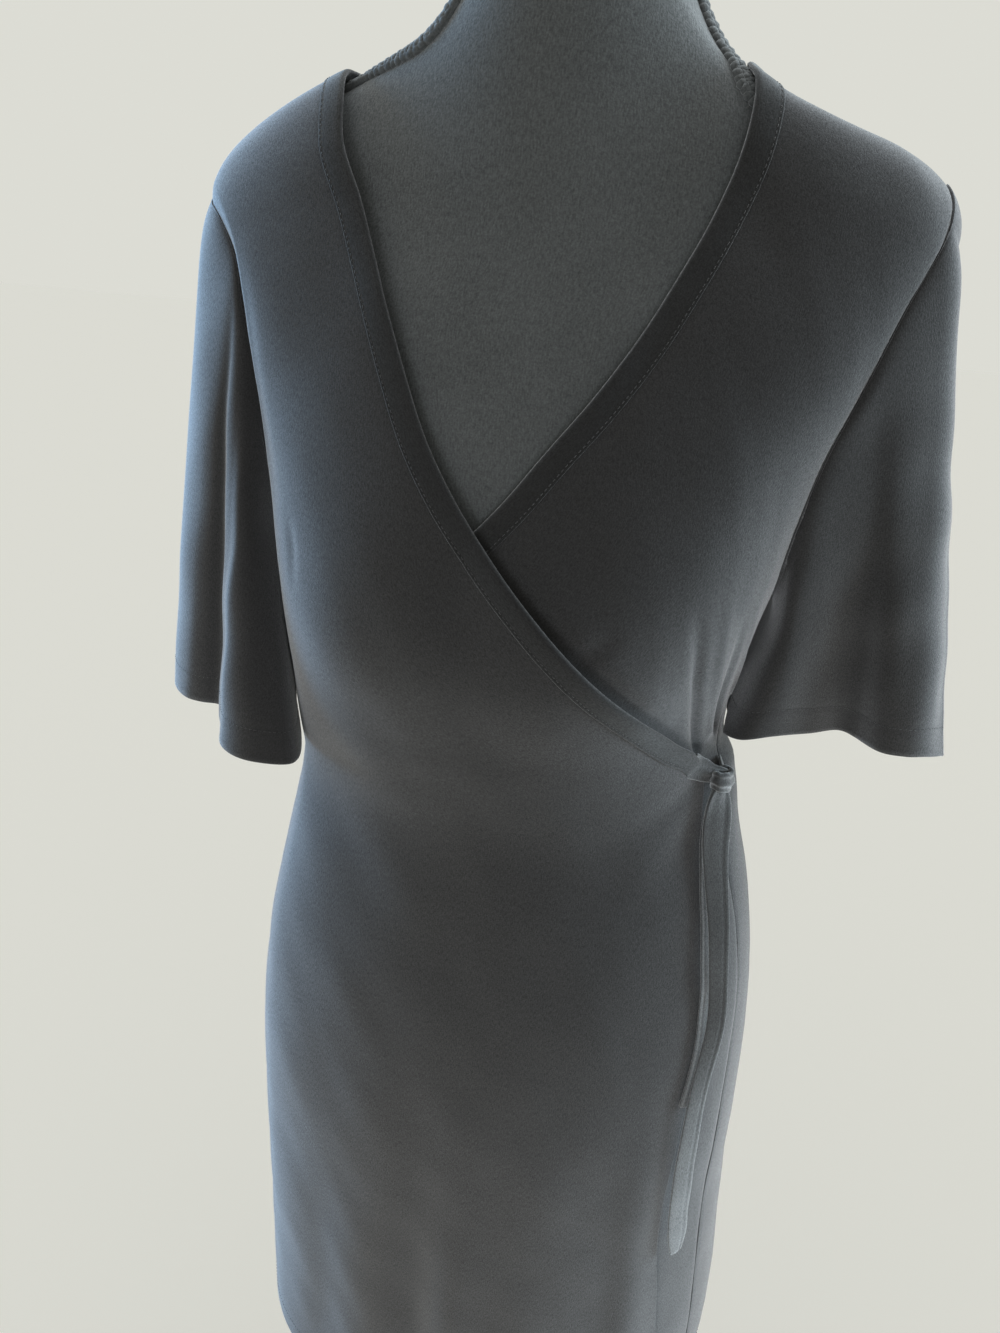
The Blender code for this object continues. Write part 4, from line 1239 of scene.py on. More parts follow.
@dataclass(frozen=True)
class Sleeve:
    """An elbow-length flared sleeve: rings from the armhole down a three-point curve to the hem."""

    name: str
    node: str
    side: int
    hem: Rows
    hem_height: float
    flutes: Rows
    seed: int
    sewn_depth: float = 0.0004
    sewn_inset: float = 0.0001
    reach: float = 0.010
    droop: float = 1.65
    over_panel: float = 0.0014
    free_height: float = 1.31
    free_drop: float = 0.06
    around: int = 10
    down: int = 84
    seam_rows: int = 7
    seam_share: float = 0.05
    hem_rows: int = 12
    hem_share: float = 0.92
    onset: float = 0.2
    wall: float = 0.0009
    turned_wall: float = 0.0007
    hem_turn: float = 0.020
    hem_dip: float = 0.00025
    seam_roll: float = 0.0001
    seam_reach: float = 0.0016
    turn_step: float = 0.002
    stitch_out: float = 0.00012
    uneven: tuple[float, float] = (0.10, 0.0009)

    def rings(self) -> np.ndarray:
        """The sleeve's outer face: (1-t)^2 armhole + 2t(1-t) turning + t^2 hem, with flutes, kept off the panels.

        Returns:
            (rows, around, 3) points, rows down and columns left to right from outside.
        """
        front, back = (
            (CUT.left_front_armhole, CUT.left_back_armhole) if self.side > 0
            else (CUT.right_front_armhole, CUT.right_back_armhole)
        )
        hole = np.concatenate([
            CUT.follow(front, CUT.crowded(CUT.armhole_rows)),
            CUT.follow(back, CUT.crowded(CUT.armhole_rows))[-2:0:-1],
        ])
        coarse = BODY.place(hole if self.side > 0 else CUT.mirrored(hole))
        count = len(coarse)
        at = np.arange(count * self.around) / self.around
        point = BODY.onto(weaver(count, at, closed=True) @ coarse)
        normal = BODY.normal(point)
        inwards = coarse.mean(axis=0) - point
        inwards = unit(inwards - normal * (inwards * normal).sum(axis=1, keepdims=True))
        ring = point - normal * self.sewn_depth + inwards * self.sewn_inset
        share = at / count
        table = np.array(self.hem)
        hem = np.stack([
            self.side * through(table[:, 0], table[:, 1], share),
            -through(table[:, 0], table[:, 2], share), self.hem_height + through(table[:, 0], table[:, 3], share),
        ], axis=-1)
        heading = unit(normal - self.droop * np.maximum(normal[:, 2:], 0) * UP)
        turning = ring + self.reach * heading
        inner_rows = self.down - self.seam_rows - self.hem_rows + 1
        v = np.concatenate([
            np.linspace(0, self.seam_share, self.seam_rows)[:-1],
            np.linspace(self.seam_share, self.hem_share, inner_rows)[:-1],
            np.linspace(self.hem_share, 1, self.hem_rows),
        ])
        t = v[:, None, None]
        rows = (1 - t) ** 2 * ring + 2 * t * (1 - t) * turning + t * t * hem
        order = np.roll(np.arange(len(at)), len(at) // 2)
        if self.side > 0:
            order = order[::-1]
        rows, ring, inwards, share = rows[:, order], ring[order], inwards[order], share[order]
        uneven = wander(rows, self.seed, *self.uneven) * smooth_step(v / self.onset)[:, None]
        rise = self.flute_rise(share, v) + uneven
        rows = rows + grid_normal(rows, closed=True) * rise[..., None]
        over = self.over_panel + (CUT.overlap_rise if self.side < 0 else 0.0)
        for _ in range(3):
            gradient = BODY.slope(rows[1:])
            strayed = -((rows[1:] - ring) * inwards).sum(axis=-1) / over
            sunk = (self.free_height - rows[1:, :, 2]) / self.free_drop
            need = np.maximum(smooth_step(strayed), smooth_step(sunk))
            need = CUT.seam_gap + (over - CUT.seam_gap) * need
            short = np.maximum(need - BODY.field(rows[1:]), 0) / (gradient**2).sum(axis=-1)
            rows[1:] += gradient * short[..., None]
        return rows

    def flute_rise(self, share: np.ndarray, v: np.ndarray) -> np.ndarray:
        """Long soft flutes: rise * exp(-(apart/width)^2) * grown(v), rows of (share, drift, width, start, rise).

        Args:
            share: shares round the armhole.
            v: shares down the sleeve.

        Returns:
            (len(v), len(share)) distances off the sleeve.
        """
        total = np.zeros((len(v), len(share)))
        for middle, drift, width, start, rise in self.flutes:
            apart = (share[None] - middle - drift * v[:, None] + 0.5) % 1.0 - 0.5
            total += rise * smooth_step((v - start) / (1 - start))[:, None] * np.exp(-((apart / width) ** 2))
        return total

    def build(self, finish: bpy.types.Material, thread: bpy.types.Material,
              stitch: Topstitch) -> list[bpy.types.Object]:
        """The sleeve as a closed thin shell with a turned hem and its stitching.

        Args:
            finish: the cloth's material.
            thread: the stitching's material.
            stitch: the stitching.

        Returns:
            The sleeve and its hem stitches.
        """
        outer = self.rings()
        down = run_along(outer, 0)
        hem = down[-1:] - down
        normal = grid_normal(outer, closed=True)
        roll = self.seam_roll * np.exp(-((down / self.seam_reach) ** 2))
        roll = roll + self.hem_dip * np.exp(-(((hem - self.hem_turn) / self.turn_step) ** 2))
        outer = outer - normal * roll[..., None]
        doubled = smooth_step((self.hem_turn + self.turn_step / 2 - hem) / self.turn_step)
        wall = self.wall + self.turned_wall * doubled
        sleeve = cloth_shell(self.name, outer, wall, finish, closed=True)
        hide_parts(self.node)
        line, off = ring_at(outer, hem, self.hem_turn), ring_at(normal, hem, self.hem_turn)
        line, off = np.concatenate([line, line[:1]]), np.concatenate([off, off[:1]])
        return [sleeve, stitch.build(self.name + "_hem_stitches", line + off * self.stitch_out, off, thread)]


def ring_at(values: np.ndarray, depth: np.ndarray, wanted: float) -> np.ndarray:
    """A grid's values in each column where a falling depth reaches the wanted one, between its rows.

    Args:
        values: (rows, columns, 3) grid.
        depth: (rows, columns) distance up from the last row.
        wanted: the distance to stop at.

    Returns:
        (columns, 3) values.
    """
    i = np.clip((depth > wanted).sum(axis=0) - 1, 0, len(depth) - 2)
    pick = np.arange(depth.shape[1])
    t = (depth[i, pick] - wanted) / (depth[i, pick] - depth[i + 1, pick])
    return values[i, pick] + (values[i + 1, pick] - values[i, pick]) * t[:, None]


@dataclass(frozen=True)
class Strand:
    """A flat tie hanging down the body: an oval section with a stitched fold near one edge."""

    name: str
    nodes: tuple[str, ...]
    path: Rows
    wall: float
    gather: float
    fold: float
    seed: int
    turned: float = 0.0
    lean: float = 5.0
    swell: float = 1.2
    roll: float = 0.00025
    roll_phase: float = 0.6
    cup: float = 0.0004
    cup_level: float = 0.4
    cup_reach: float = 0.3
    dip: float = 0.00030
    dip_width: float = 0.06
    waves: tuple[float, float] = (0.09, 0.0006)
    end_round: float = 0.004
    crowding: float = 0.012
    flatness: float = 0.55
    edge_power: float = 0.9
    lean_waves: float = 16.0
    faced_travel: tuple[float, float] = (-0.010, 0.035)
    faced_height: tuple[float, float] = (0.865, 0.10)
    rows: int = 150
    around: int = 36

    def build(self, finish: bpy.types.Material) -> bpy.types.Object:
        """The tie as a closed solid; its section is (w/2 cos a, t/2 sin a) with rolls where it is gathered.

        Args:
            finish: its material.

        Returns:
            The new object.
        """
        table = np.array(self.path)[::-1]
        v = np.linspace(0, 1, self.rows)
        v = v + self.crowding * np.sin(2 * math.pi * v) / math.pi
        height = table[-1, 0] + (table[0, 0] - table[-1, 0]) * v
        angle, out, width = (through(table[:, 0], table[:, k], height) for k in (1, 2, 3))
        foot = BODY.place(np.stack([angle, height], axis=-1))
        centre = BODY.hung(foot, out)
        normal = BODY.normal(foot)
        tangent = unit(np.gradient(centre, axis=0))
        across = unit(np.cross(tangent, normal))
        across = np.where(across[:, 1:2] < 0, -across, across)
        off = unit(np.cross(across, tangent))
        off = np.where((off * normal).sum(axis=1, keepdims=True) < 0, -off, off)
        travelled = run_along(centre[:, None], 0)[:, 0]
        left = travelled[-1] - travelled
        close = np.sqrt(1 - (1 - np.clip(np.minimum(travelled, left) / self.end_round, 0, 1)) ** 2)
        gathered = np.exp(-travelled / self.gather)
        thick = self.wall * (1 + self.swell * gathered)
        turn = np.arange(self.around) * 2 * math.pi / self.around
        level = np.sign(np.sin(turn)) * np.abs(np.sin(turn)) ** self.flatness
        side = np.sign(np.cos(turn)) * np.abs(np.cos(turn)) ** self.edge_power
        rolls = gathered[:, None] * self.roll * np.cos(2 * math.pi * side + self.roll_phase)[None]
        cup = self.cup * (side[None] ** 2 - self.cup_level) * np.exp(-travelled / self.cup_reach)[:, None]
        dip = -self.dip * np.exp(-(((side - self.fold) / self.dip_width) ** 2))[None] * (level > 0)[None]
        waves = wander(centre, self.seed, *self.waves)[:, None]
        faced = smooth_step((travelled - self.faced_travel[0]) / self.faced_travel[1])
        faced = faced * smooth_step((height - self.faced_height[0]) / self.faced_height[1])
        lean = np.radians(self.turned * faced + self.lean * np.sin(travelled * self.lean_waves + self.seed))[:, None]
        x = (width / 2 * close)[:, None] * side[None]
        y = (thick / 2 * close)[:, None] * level[None] + rolls + cup + dip + waves
        rings = (
            centre[:, None] + (x * np.cos(lean) - y * np.sin(lean))[..., None] * across[:, None]
            + (x * np.sin(lean) + y * np.cos(lean))[..., None] * off[:, None]
        )
        made = tube(self.name, rings[:, ::-1], finish)
        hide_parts(*self.nodes)
        return made


@dataclass(frozen=True)
class Knot:
    """The single knot at the left waist: a wrap in soft rolls, the band's tail and the side tie's root."""

    angle: float = -17.8
    height: float = 1.1075
    out: float = 0.0112
    half_width: float = 0.0074
    half_depth: float = 0.0037
    wrap_height: float = 0.0128
    wrap_wall: float = 0.0050
    rolls: int = 2
    roll_depth: float = 0.30
    squareness: float = 0.75
    swelling: Ripple = Ripple(0.10, 1, 0.8)
    slant: Ripple = Ripple(0.0016, 1, 0.3)
    wobble: tuple[Ripple, ...] = (Ripple(0.0005, 2, 1.0), Ripple(0.0003, 5))
    section_chart: float = 0.004
    around: int = 96
    section: int = 40
    tail_grid: tuple[int, int] = (22, 44)
    tail_wave: Ripple = Ripple(0.0002, 17)
    tail_skew: float = 2.0
    tail_wall: float = 0.0014
    tail_half: tuple[float, float] = (0.0066, -0.0022)
    tail_angle: tuple[float, float] = (-27.6, 11.4)
    tail_height: tuple[float, float] = (1.1232, -0.0145)
    tail_rise: tuple[float, float] = (0.0003, 0.0078)
    tail_pleat: tuple[float, float, float] = (0.0010, 6.5, 1.1)
    root_wall: float = 0.0013
    root_half: tuple[float, float] = (0.0058, 0.0022)
    root_angle: tuple[float, float] = (-15.5, -10.9)
    root_height: tuple[float, float] = (1.107, 0.0012)
    root_rise: tuple[float, float] = (0.0022, 0.0066)
    root_grid: tuple[int, int] = (14, 40)
    root_pleat: tuple[float, float] = (0.0006, 5.2)

    def frame(self) -> tuple[np.ndarray, np.ndarray, np.ndarray]:
        """Where the knot sits.

        Returns:
            Its middle, its direction off the body and its direction to the wearer's left.
        """
        foot = BODY.place(np.array([self.angle, self.height]))
        centre = BODY.hung(foot, self.out)
        level = unit((centre - foot) * np.array([1.0, 1.0, 0.0]))
        return centre, level, np.array([-level[1], level[0], 0.0])

    def wrap(self, finish: bpy.types.Material) -> bpy.types.Object:
        """The wrap: a band with rolls, its section carried round an ellipse that leans to one side.

        Args:
            finish: its material.

        Returns:
            The new object.
        """
        centre, level, along = self.frame()
        turn = np.arange(self.around) * 2 * math.pi / self.around
        section = np.arange(self.section) * 2 * math.pi / self.section
        tall = np.sign(np.sin(section)) * np.abs(np.sin(section)) ** self.squareness
        bulge = np.cos(section) * (1 + self.roll_depth * np.cos(self.rolls * math.pi * tall))
        tall, bulge = tall[:, None], bulge[:, None]
        wobble = sum(wave.at(turn) for wave in self.wobble)
        up = tall * self.wrap_height / 2 * (1 + self.swelling.at(turn)) + self.slant.at(turn) + wobble
        thick = bulge * self.wrap_wall / 2
        x = (self.half_depth + thick) * np.cos(turn)
        y = (self.half_width + thick) * np.sin(turn)
        points = centre + x[..., None] * level + y[..., None] * along - up[..., None] * UP
        rows, columns = points.shape[:2]
        index = np.arange(rows * columns).reshape(rows, columns)
        index = np.concatenate([index, index[:1]])
        chart = np.stack(
            np.broadcast_arrays(turn * self.half_width, section[:, None] * self.section_chart), axis=-1,
        )
        made = make_object(
            "knot_wrap", points.reshape(-1, 3), quads(index, wrap=True), chart.reshape(-1, 2), finish,
        )
        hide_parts("tie_knot")
        return made

    def tail(self, finish: bpy.types.Material) -> bpy.types.Object:
        """The neck band's gathered end, which narrows and rises from the overlap's corner into the wrap.

        Args:
            finish: its material.

        Returns:
            The new object.
        """
        rows, columns = self.tail_grid
        share, row = np.linspace(0, 1, columns)[None], np.linspace(1, -1, rows)[:, None]
        half = self.tail_half[0] + self.tail_half[1] * smooth_step(share) + self.tail_wave.at(share)
        height = self.tail_height[0] + self.tail_height[1] * share + half * row
        angle = self.tail_angle[0] + self.tail_angle[1] * share + self.tail_skew * row * (1 - share)
        places = np.stack(np.broadcast_arrays(angle, height), axis=-1)
        size, turns, phase = self.tail_pleat
        pleat = size * np.cos(turns * row + phase) * smooth_step(share * 1.4 - 0.3)
        out = CUT.overlap_rise + self.tail_rise[0] + self.tail_rise[1] * smooth_step((share - 0.12) / 0.88) + pleat
        return cloth_shell("band_tail", BODY.hung(BODY.place(places), out), self.tail_wall, finish)

    def root(self, finish: bpy.types.Material) -> bpy.types.Object:
        """The side tie from its seam to the knot: a flat strip that rises off the body and turns in.

        Args:
            finish: its material.

        Returns:
            The new object.
        """
        rows, columns = self.root_grid
        angle = np.linspace(*self.root_angle, columns)[None]
        near, row = 1 - np.linspace(0, 1, columns)[None], np.linspace(1, -1, rows)[:, None]
        half = self.root_half[0] - self.root_half[1] * near**2
        height = self.root_height[0] + half * row + self.root_height[1] * near
        places = np.stack(np.broadcast_arrays(angle, height), axis=-1)
        pleat = self.root_pleat[0] * np.cos(row * self.root_pleat[1]) * near
        out = self.root_rise[0] + self.root_rise[1] * near**1.3 + pleat
        made = cloth_shell("tie_side_root_cloth", BODY.hung(BODY.place(places), out), self.root_wall, finish)
        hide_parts("tie_side_root")
        return made


# ---------------------------------------------------------------- form and stand
@dataclass(frozen=True)
class DressForm:
    """The limbless form: a smooth skin of stretched jersey with a cover seam up each side of the neck."""

    top: float = 1.550
    bottom: float = 0.800
    rim_inset: float = 0.010
    rim_rise: float = 0.012
    fan_shares: tuple[float, ...] = (0.25, 0.5, 0.75, 0.95)
    columns: int = 44
    rows: int = 30
    rounds: int = 900
    seam_rise: float = 0.0016
    seam_wall: float = 0.0017
    seam_grid: tuple[int, int] = (190, 21)
    seam_edge: tuple[Ripple, ...] = (Ripple(0.10, 151), Ripple(0.06, 87, 1))
    seam_puckers: tuple[Ripple, ...] = (Ripple(1.0, 190, 0, 2.2), Ripple(0.7, 117, 1, -3.1))
    seam_dip: float = 0.0005
    seam_dip_place: float = 0.55
    seam_dip_width: float = 0.12

    def skin(self) -> np.ndarray:
        """Coarse rings down from the neck, evened out by moving each point to its neighbours' mean.

        Returns:
            (rows, columns, 3) points on the form's surface.
        """
        turn = np.arange(self.columns) * 2 * math.pi / self.columns + math.pi / 2
        height = np.linspace(self.top - self.rim_rise, self.bottom + self.rim_rise, self.rows)
        turn, height = np.meshgrid(turn, height)
        skin = polar(BODY.radius(np.degrees(turn), height, form=True), turn, height)
        for _ in range(self.rounds):
            beside = (np.roll(skin, 1, axis=1) + np.roll(skin, -1, axis=1)) / 4
            skin[1:-1] = BODY.onto(beside[1:-1] + (skin[:-2] + skin[2:]) / 4, 1, form=True)
        return skin

    def build(self, finish: bpy.types.Material) -> bpy.types.Object:
        """The form's skin, refined, with a rounded rim at both ends.

        Args:
            finish: its material.

        Returns:
            The new object.
        """
        rows = np.linspace(0, self.rows - 1, 6 * (self.rows - 1) + 1)
        columns = np.arange(self.columns * 5) / 5
        skin = BODY.onto(refined(self.skin(), rows, columns, closed=True), form=True)
        rims = []
        for ring, up in ((skin[0], 1), (skin[-1], -1)):
            inwards = unit(ring.mean(axis=0) - ring)
            bend = [
                ring + inwards * self.rim_inset * (1 - math.cos(a))
                + np.array([0, 0, up * self.rim_rise * math.sin(a)])
                for a in np.linspace(0, math.pi / 2, 7)[1:]
            ]
            middle = bend[-1].mean(axis=0)
            flat = [bend[-1] + (middle - bend[-1]) * s for s in self.fan_shares]
            rims.append(bend + flat)
        made = tube("form_skin", np.stack(rims[0][::-1] + list(skin) + rims[1]), finish)
        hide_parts("form_torso")
        return made

    def cover_seam(self, name: str, path: Rows, width: float, pucker: float,
                   finish: bpy.types.Material) -> bpy.types.Object:
        """A stitched-down seam of the cover: a low strip with puckers, rise = h (1 - s^8) + pucker waves.

        Args:
            name: the piece's name.
            path: (angle, height) rows down the form.
            width: the strip's width.
            pucker: the puckers' height.
            finish: its material.

        Returns:
            The new object.
        """
        table = np.array(path)
        share = np.linspace(0, 1, len(table))
        v, s = np.linspace(0, 1, self.seam_grid[0]), np.linspace(-1, 1, self.seam_grid[1])
        angle, height = (through(share, table[:, k], v) for k in (0, 1))
        line = polar(BODY.radius(angle, height, form=True), np.radians(angle), height)
        normal = unit(BODY.slope(line, form=True))
        across = unit(np.cross(normal, unit(np.gradient(line, axis=0))))
        ragged = width / 2 * sum((wave.at(v) for wave in self.seam_edge), start=1.0)
        grid = BODY.onto(line[:, None] - across[:, None] * (ragged[:, None] * s[None])[..., None], form=True)
        normal = unit(BODY.slope(grid, form=True))
        puckers = sum(wave.at(v[:, None], s[None]) for wave in self.seam_puckers)
        rise = self.seam_rise * (1 - np.abs(s) ** 8)[None] + pucker * puckers * (1 - s**2)[None]
        dip = np.exp(-(((np.abs(s) - self.seam_dip_place) / self.seam_dip_width) ** 2))
        rise = rise - self.seam_dip * dip[None]
        return cloth_shell(name, grid + normal * rise[..., None], self.seam_wall, finish)


@dataclass(frozen=True)
class Stand:
    """The pole below the form and the round base plate, turned from their profiles."""

    pole_radius: float = 0.016
    pole_foot: float = 0.0624
    pole_top: float = 0.7996
    base_radius: float = 0.170
    base_rim: float = 0.010
    base_crown: float = 0.022
    socket_radius: float = 0.026
    socket_top: float = 0.062

    @staticmethod
    def turned(name: str, profile: Rows, around: int, finish: bpy.types.Material) -> bpy.types.Object:
        """A profile of (radius, height) from top to bottom, turned round the pole's axis.

        Args:
            name: the piece's name.
            profile: its rows, which don't reach the axis.
            around: points in a ring.
            finish: its material.

        Returns:
            The new object.
        """
        table = np.array(profile)
        turn = np.arange(around) * 2 * math.pi / around
        return tube(name, polar(table[:, :1], turn, table[:, 1:]), finish)

    def build(self, finish: bpy.types.Material) -> list[bpy.types.Object]:
        """The pole and the base with softened edges.

        Args:
            finish: their material.

        Returns:
            The two pieces.
        """
        r = self.pole_radius
        pole = self.turned("pole_tube", (
            (0.001, self.pole_top), (r - 0.001, self.pole_top), (r, self.pole_top - 0.001),
            (r, 0.55), (r, 0.30), (r, self.pole_foot + 0.001), (r - 0.001, self.pole_foot), (0.001, self.pole_foot),
        ), 72, finish)
        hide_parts("stand_pole")
        s, b = self.socket_radius, self.base_radius
        base = self.turned("base_plate", (
            (0.001, self.socket_top), (s - 0.004, self.socket_top), (s - 0.0012, self.socket_top - 0.0008),
            (s, self.socket_top - 0.003), (s, self.base_crown + 0.005), (s + 0.0015, self.base_crown + 0.0018),
            (s + 0.006, self.base_crown - 0.0004), (b * 0.45, self.base_crown - 0.0042),
            (b * 0.8, self.base_rim + 0.0026), (b - 0.012, self.base_rim), (b - 0.005, self.base_rim - 0.0012),
            (b - 0.0014, self.base_rim - 0.0034), (b, self.base_rim - 0.0062), (b, 0.0010), (b - 0.001, 0.0),
            (b * 0.5, 0.0), (0.001, 0.0),
        ), 160, finish)
        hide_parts("stand_base")
        return [pole, base]


# ---------------------------------------------------------------- studio
@dataclass(frozen=True)
class SoftLight:
    """A square light: its place, its side in metres, watts, spread in degrees and the height it faces."""

    name: str
    place: tuple[float, float, float]
    size: float
    power: float
    spread: float
    colour: Colour
    aim: float = 1.15


LIGHTS = (
    SoftLight("window_left", (-1.9, 0.7, 1.45), 1.6, 40.0, 110.0, (0.27, 0.60, 1.0)),
    SoftLight("window_right", (2.0, 0.6, 1.45), 1.4, 26.0, 110.0, (0.70, 0.88, 1.0)),
    SoftLight("soft_top", (0.2, 0.9, 3.0), 1.6, 14.0, 100.0, (0.86, 0.94, 1.0)),
    SoftLight("room_front", (0.3, -2.2, 0.5), 1.6, 5.0, 110.0, (0.80, 0.90, 1.0)),
    SoftLight("room_low", (0.2, -1.9, 0.25), 1.2, 2.6, 36.0, (0.95, 0.97, 1.0), 0.70),
)


def placed(
    name: str, data: bpy.types.Light | bpy.types.Camera, right: np.ndarray, up: np.ndarray, back: np.ndarray,
    place: np.ndarray,
) -> bpy.types.Object:
    """A light or camera in the scene, by the columns of its matrix.

    Args:
        name: the object's name.
        data: the light or camera.
        right: its direction to the right.
        up: its direction up.
        back: the direction away from what it faces.
        place: where it stands.

    Returns:
        The new object.
    """
    matrix = np.eye(4)
    matrix[:3] = np.stack([right, up, back, place], axis=1)
    made = bpy.data.objects.new(name, data)
    made.matrix_world = Matrix(matrix.tolist())
    bpy.context.scene.collection.objects.link(made)
    return made


@dataclass(frozen=True)
class Studio:
    """A pale floor and world, soft lights, and the camera above the front looking down."""

    turn: float = 15.8
    pitch: float = 25.7
    roll: float = 3.4
    distance: float = 0.569
    height: float = 1.409
    aside: float = -0.016
    focal_share: float = 0.950
    sensor: float = 36.0
    pale: Colour = (0.77, 0.77, 0.71)
    sky_strength: float = 0.93
    floor_size: float = 24.0
    floor_colour: Colour = (0.99, 0.99, 0.985)

    def floor(self) -> bpy.types.Object:
        """A large matt floor.

        Returns:
            The floor.
        """
        half = self.floor_size / 2
        corners = np.array([(-half, -half, 0), (half, -half, 0), (half, half, 0), (-half, half, 0)], float)
        tree = NodeTree("pale_floor")
        tree.put(tree.shader, {
            "Base Color": (*self.floor_colour, 1.0), "Roughness": 0.9, "Specular IOR Level": 0.1,
        })
        made = make_object("floor", corners, np.array([[0, 1, 2, 3]]), corners[:, :2], tree.material)
        return made

    @staticmethod
    def light(wanted: SoftLight, floor: bpy.types.Object) -> None:
        """Puts up a light that faces the body's axis and leaves the floor evenly lit by the room.

        Args:
            wanted: the light.
            floor: the floor, which it passes over.
        """
        lamp = bpy.data.lights.new(wanted.name, "AREA")
        lamp.shape, lamp.size, lamp.energy, lamp.color = "SQUARE", wanted.size, wanted.power, wanted.colour
        lamp.spread = math.radians(wanted.spread)
        away = unit(np.array(wanted.place) - np.array([0, 0, wanted.aim]))
        right = unit(np.cross(UP, away))
        holder = placed(wanted.name, lamp, right, np.cross(away, right), away, wanted.place)
        unlit = bpy.data.collections.new(wanted.name + "_unlit")
        unlit.objects.link(floor)
        unlit.collection_objects[0].light_linking.link_state = "EXCLUDE"
        holder.light_linking.receiver_collection = unlit

    def camera(self) -> None:
        """The camera: back from the body's axis by the distance, turned, pitched down and rolled."""
        turn, pitch, roll = np.radians([self.turn, self.pitch, self.roll])
        back = np.array([math.sin(turn), -math.cos(turn), 0.0])
        right = np.array([math.cos(turn), math.sin(turn), 0.0])
        place = back * self.distance + right * self.aside + np.array([0, 0, self.height])
        ahead = -back * math.cos(pitch) - np.array([0, 0, math.sin(pitch)])
        up = -back * math.sin(pitch) + np.array([0, 0, math.cos(pitch)])
        lens = bpy.data.cameras.new("camera")
        lens.sensor_fit = "HORIZONTAL"
        lens.sensor_width = self.sensor
        lens.lens = self.sensor * self.focal_share
        lens.clip_start = 0.02
        bpy.context.scene.camera = placed(
            "camera", lens, right * math.cos(roll) + up * math.sin(roll),
            -right * math.sin(roll) + up * math.cos(roll), -ahead, place,
        )

    def build(self) -> None:
        """Sets up the floor, the world, the lights and the camera."""
        floor = self.floor()
        world = bpy.data.worlds.new("pale_room")
        world.use_nodes = True
        sky = world.node_tree.nodes["Background"]
        sky.inputs["Color"].default_value = (*self.pale, 1.0)
        sky.inputs["Strength"].default_value = self.sky_strength
        bpy.context.scene.world = world
        bpy.context.scene.view_settings.view_transform = "Standard"
        for wanted in LIGHTS:
            self.light(wanted, floor)
        self.camera()


# ---------------------------------------------------------------- everything
FRONT_CREASES = (
    Crease(((-161.0, 1.388, 0.006, 0.0), (-155.4, 1.347, 0.008, -0.0009), (-152.7, 1.301, 0.009, -0.0010),
            (-147.0, 1.259, 0.009, -0.0004))),
    Crease(((-98.0, 1.288, 0.009, 0.0), (-86.0, 1.258, 0.009, 0.0012), (-70.0, 1.219, 0.010, 0.0022),
            (-52.0, 1.178, 0.009, 0.0014), (-40.0, 1.155, 0.008, 0.0))),
    Crease(((-138.8, 1.254, 0.006, 0.0), (-136.0, 1.233, 0.006, -0.0010), (-135.0, 1.208, 0.006, 0.0))),
    Crease(((-160.0, 1.075, 0.010, -0.0007), (-130.0, 1.100, 0.012, -0.0006), (-95.0, 1.118, 0.012, 0.0))),
    Crease(((-56.0, 1.060, 0.016, 0.0), (-40.0, 1.085, 0.011, -0.0006), (-26.0, 1.106, 0.007, -0.0005))),
    Crease(((-50.0, 1.010, 0.018, 0.0), (-36.0, 1.060, 0.012, 0.0005), (-25.0, 1.096, 0.008, 0.0004))),
)
UNDER_CREASES = (
    Crease(((-36.0, 1.401, 0.007, 0.0), (-44.7, 1.376, 0.008, -0.0012), (-55.9, 1.336, 0.008, -0.0014),
            (-66.0, 1.300, 0.008, 0.0))),
    Crease(((-42.4, 1.238, 0.0055, 0.0), (-38.6, 1.208, 0.0045, -0.0018), (-33.6, 1.176, 0.0040, -0.0032),
            (-22.4, 1.128, 0.0036, -0.0042))),
    Crease(((-34.9, 1.244, 0.006, 0.0), (-32.0, 1.216, 0.0048, 0.0009), (-27.6, 1.183, 0.0042, 0.0014),
            (-17.6, 1.136, 0.0036, 0.0018))),
    Crease(((-28.0, 1.225, 0.0055, 0.0), (-24.0, 1.195, 0.0044, -0.0018), (-20.0, 1.168, 0.0040, -0.0030),
            (-13.2, 1.134, 0.0036, -0.0038))),
    Crease(((-23.6, 1.235, 0.006, 0.0), (-18.2, 1.202, 0.0046, 0.0010), (-10.0, 1.168, 0.0046, 0.0017),
            (-5.5, 1.140, 0.0050, 0.0028), (-2.0, 1.118, 0.0040, 0.0))),
    Crease(((-92.0, 1.274, 0.0035, 0.0), (-79.0, 1.243, 0.0040, -0.0020), (-55.0, 1.1855, 0.0045, -0.0028),
            (-38.0, 1.1535, 0.0040, -0.0024), (-29.0, 1.136, 0.0035, 0.0))),
    Crease(((-64.8, 1.205, 0.006, 0.0), (-62.0, 1.212, 0.007, -0.0014), (-57.0, 1.222, 0.006, 0.0))),
)
BACK_CREASES = (
    Crease(((24.0, 1.300, 0.012, 0.0), (38.0, 1.240, 0.012, -0.0014), (55.0, 1.190, 0.014, 0.0))),
    Crease(((158.0, 1.305, 0.012, 0.0), (144.0, 1.240, 0.012, -0.0013), (126.0, 1.185, 0.014, 0.0))),
    Crease(((30.0, 1.085, 0.010, -0.0008), (62.0, 1.070, 0.010, -0.0020), (96.0, 1.066, 0.011, -0.0012),
            (118.0, 1.074, 0.010, 0.0))),
    Crease(((44.0, 1.108, 0.011, 0.0), (84.0, 1.098, 0.012, 0.0018), (132.0, 1.108, 0.011, 0.0))),
    Crease(((150.0, 1.090, 0.010, -0.0010), (122.0, 1.120, 0.010, -0.0018), (88.0, 1.132, 0.011, 0.0))),
    Crease(((0.0, 1.120, 0.010, -0.0012), (14.0, 1.100, 0.009, -0.0014), (30.0, 1.086, 0.010, 0.0))),
)
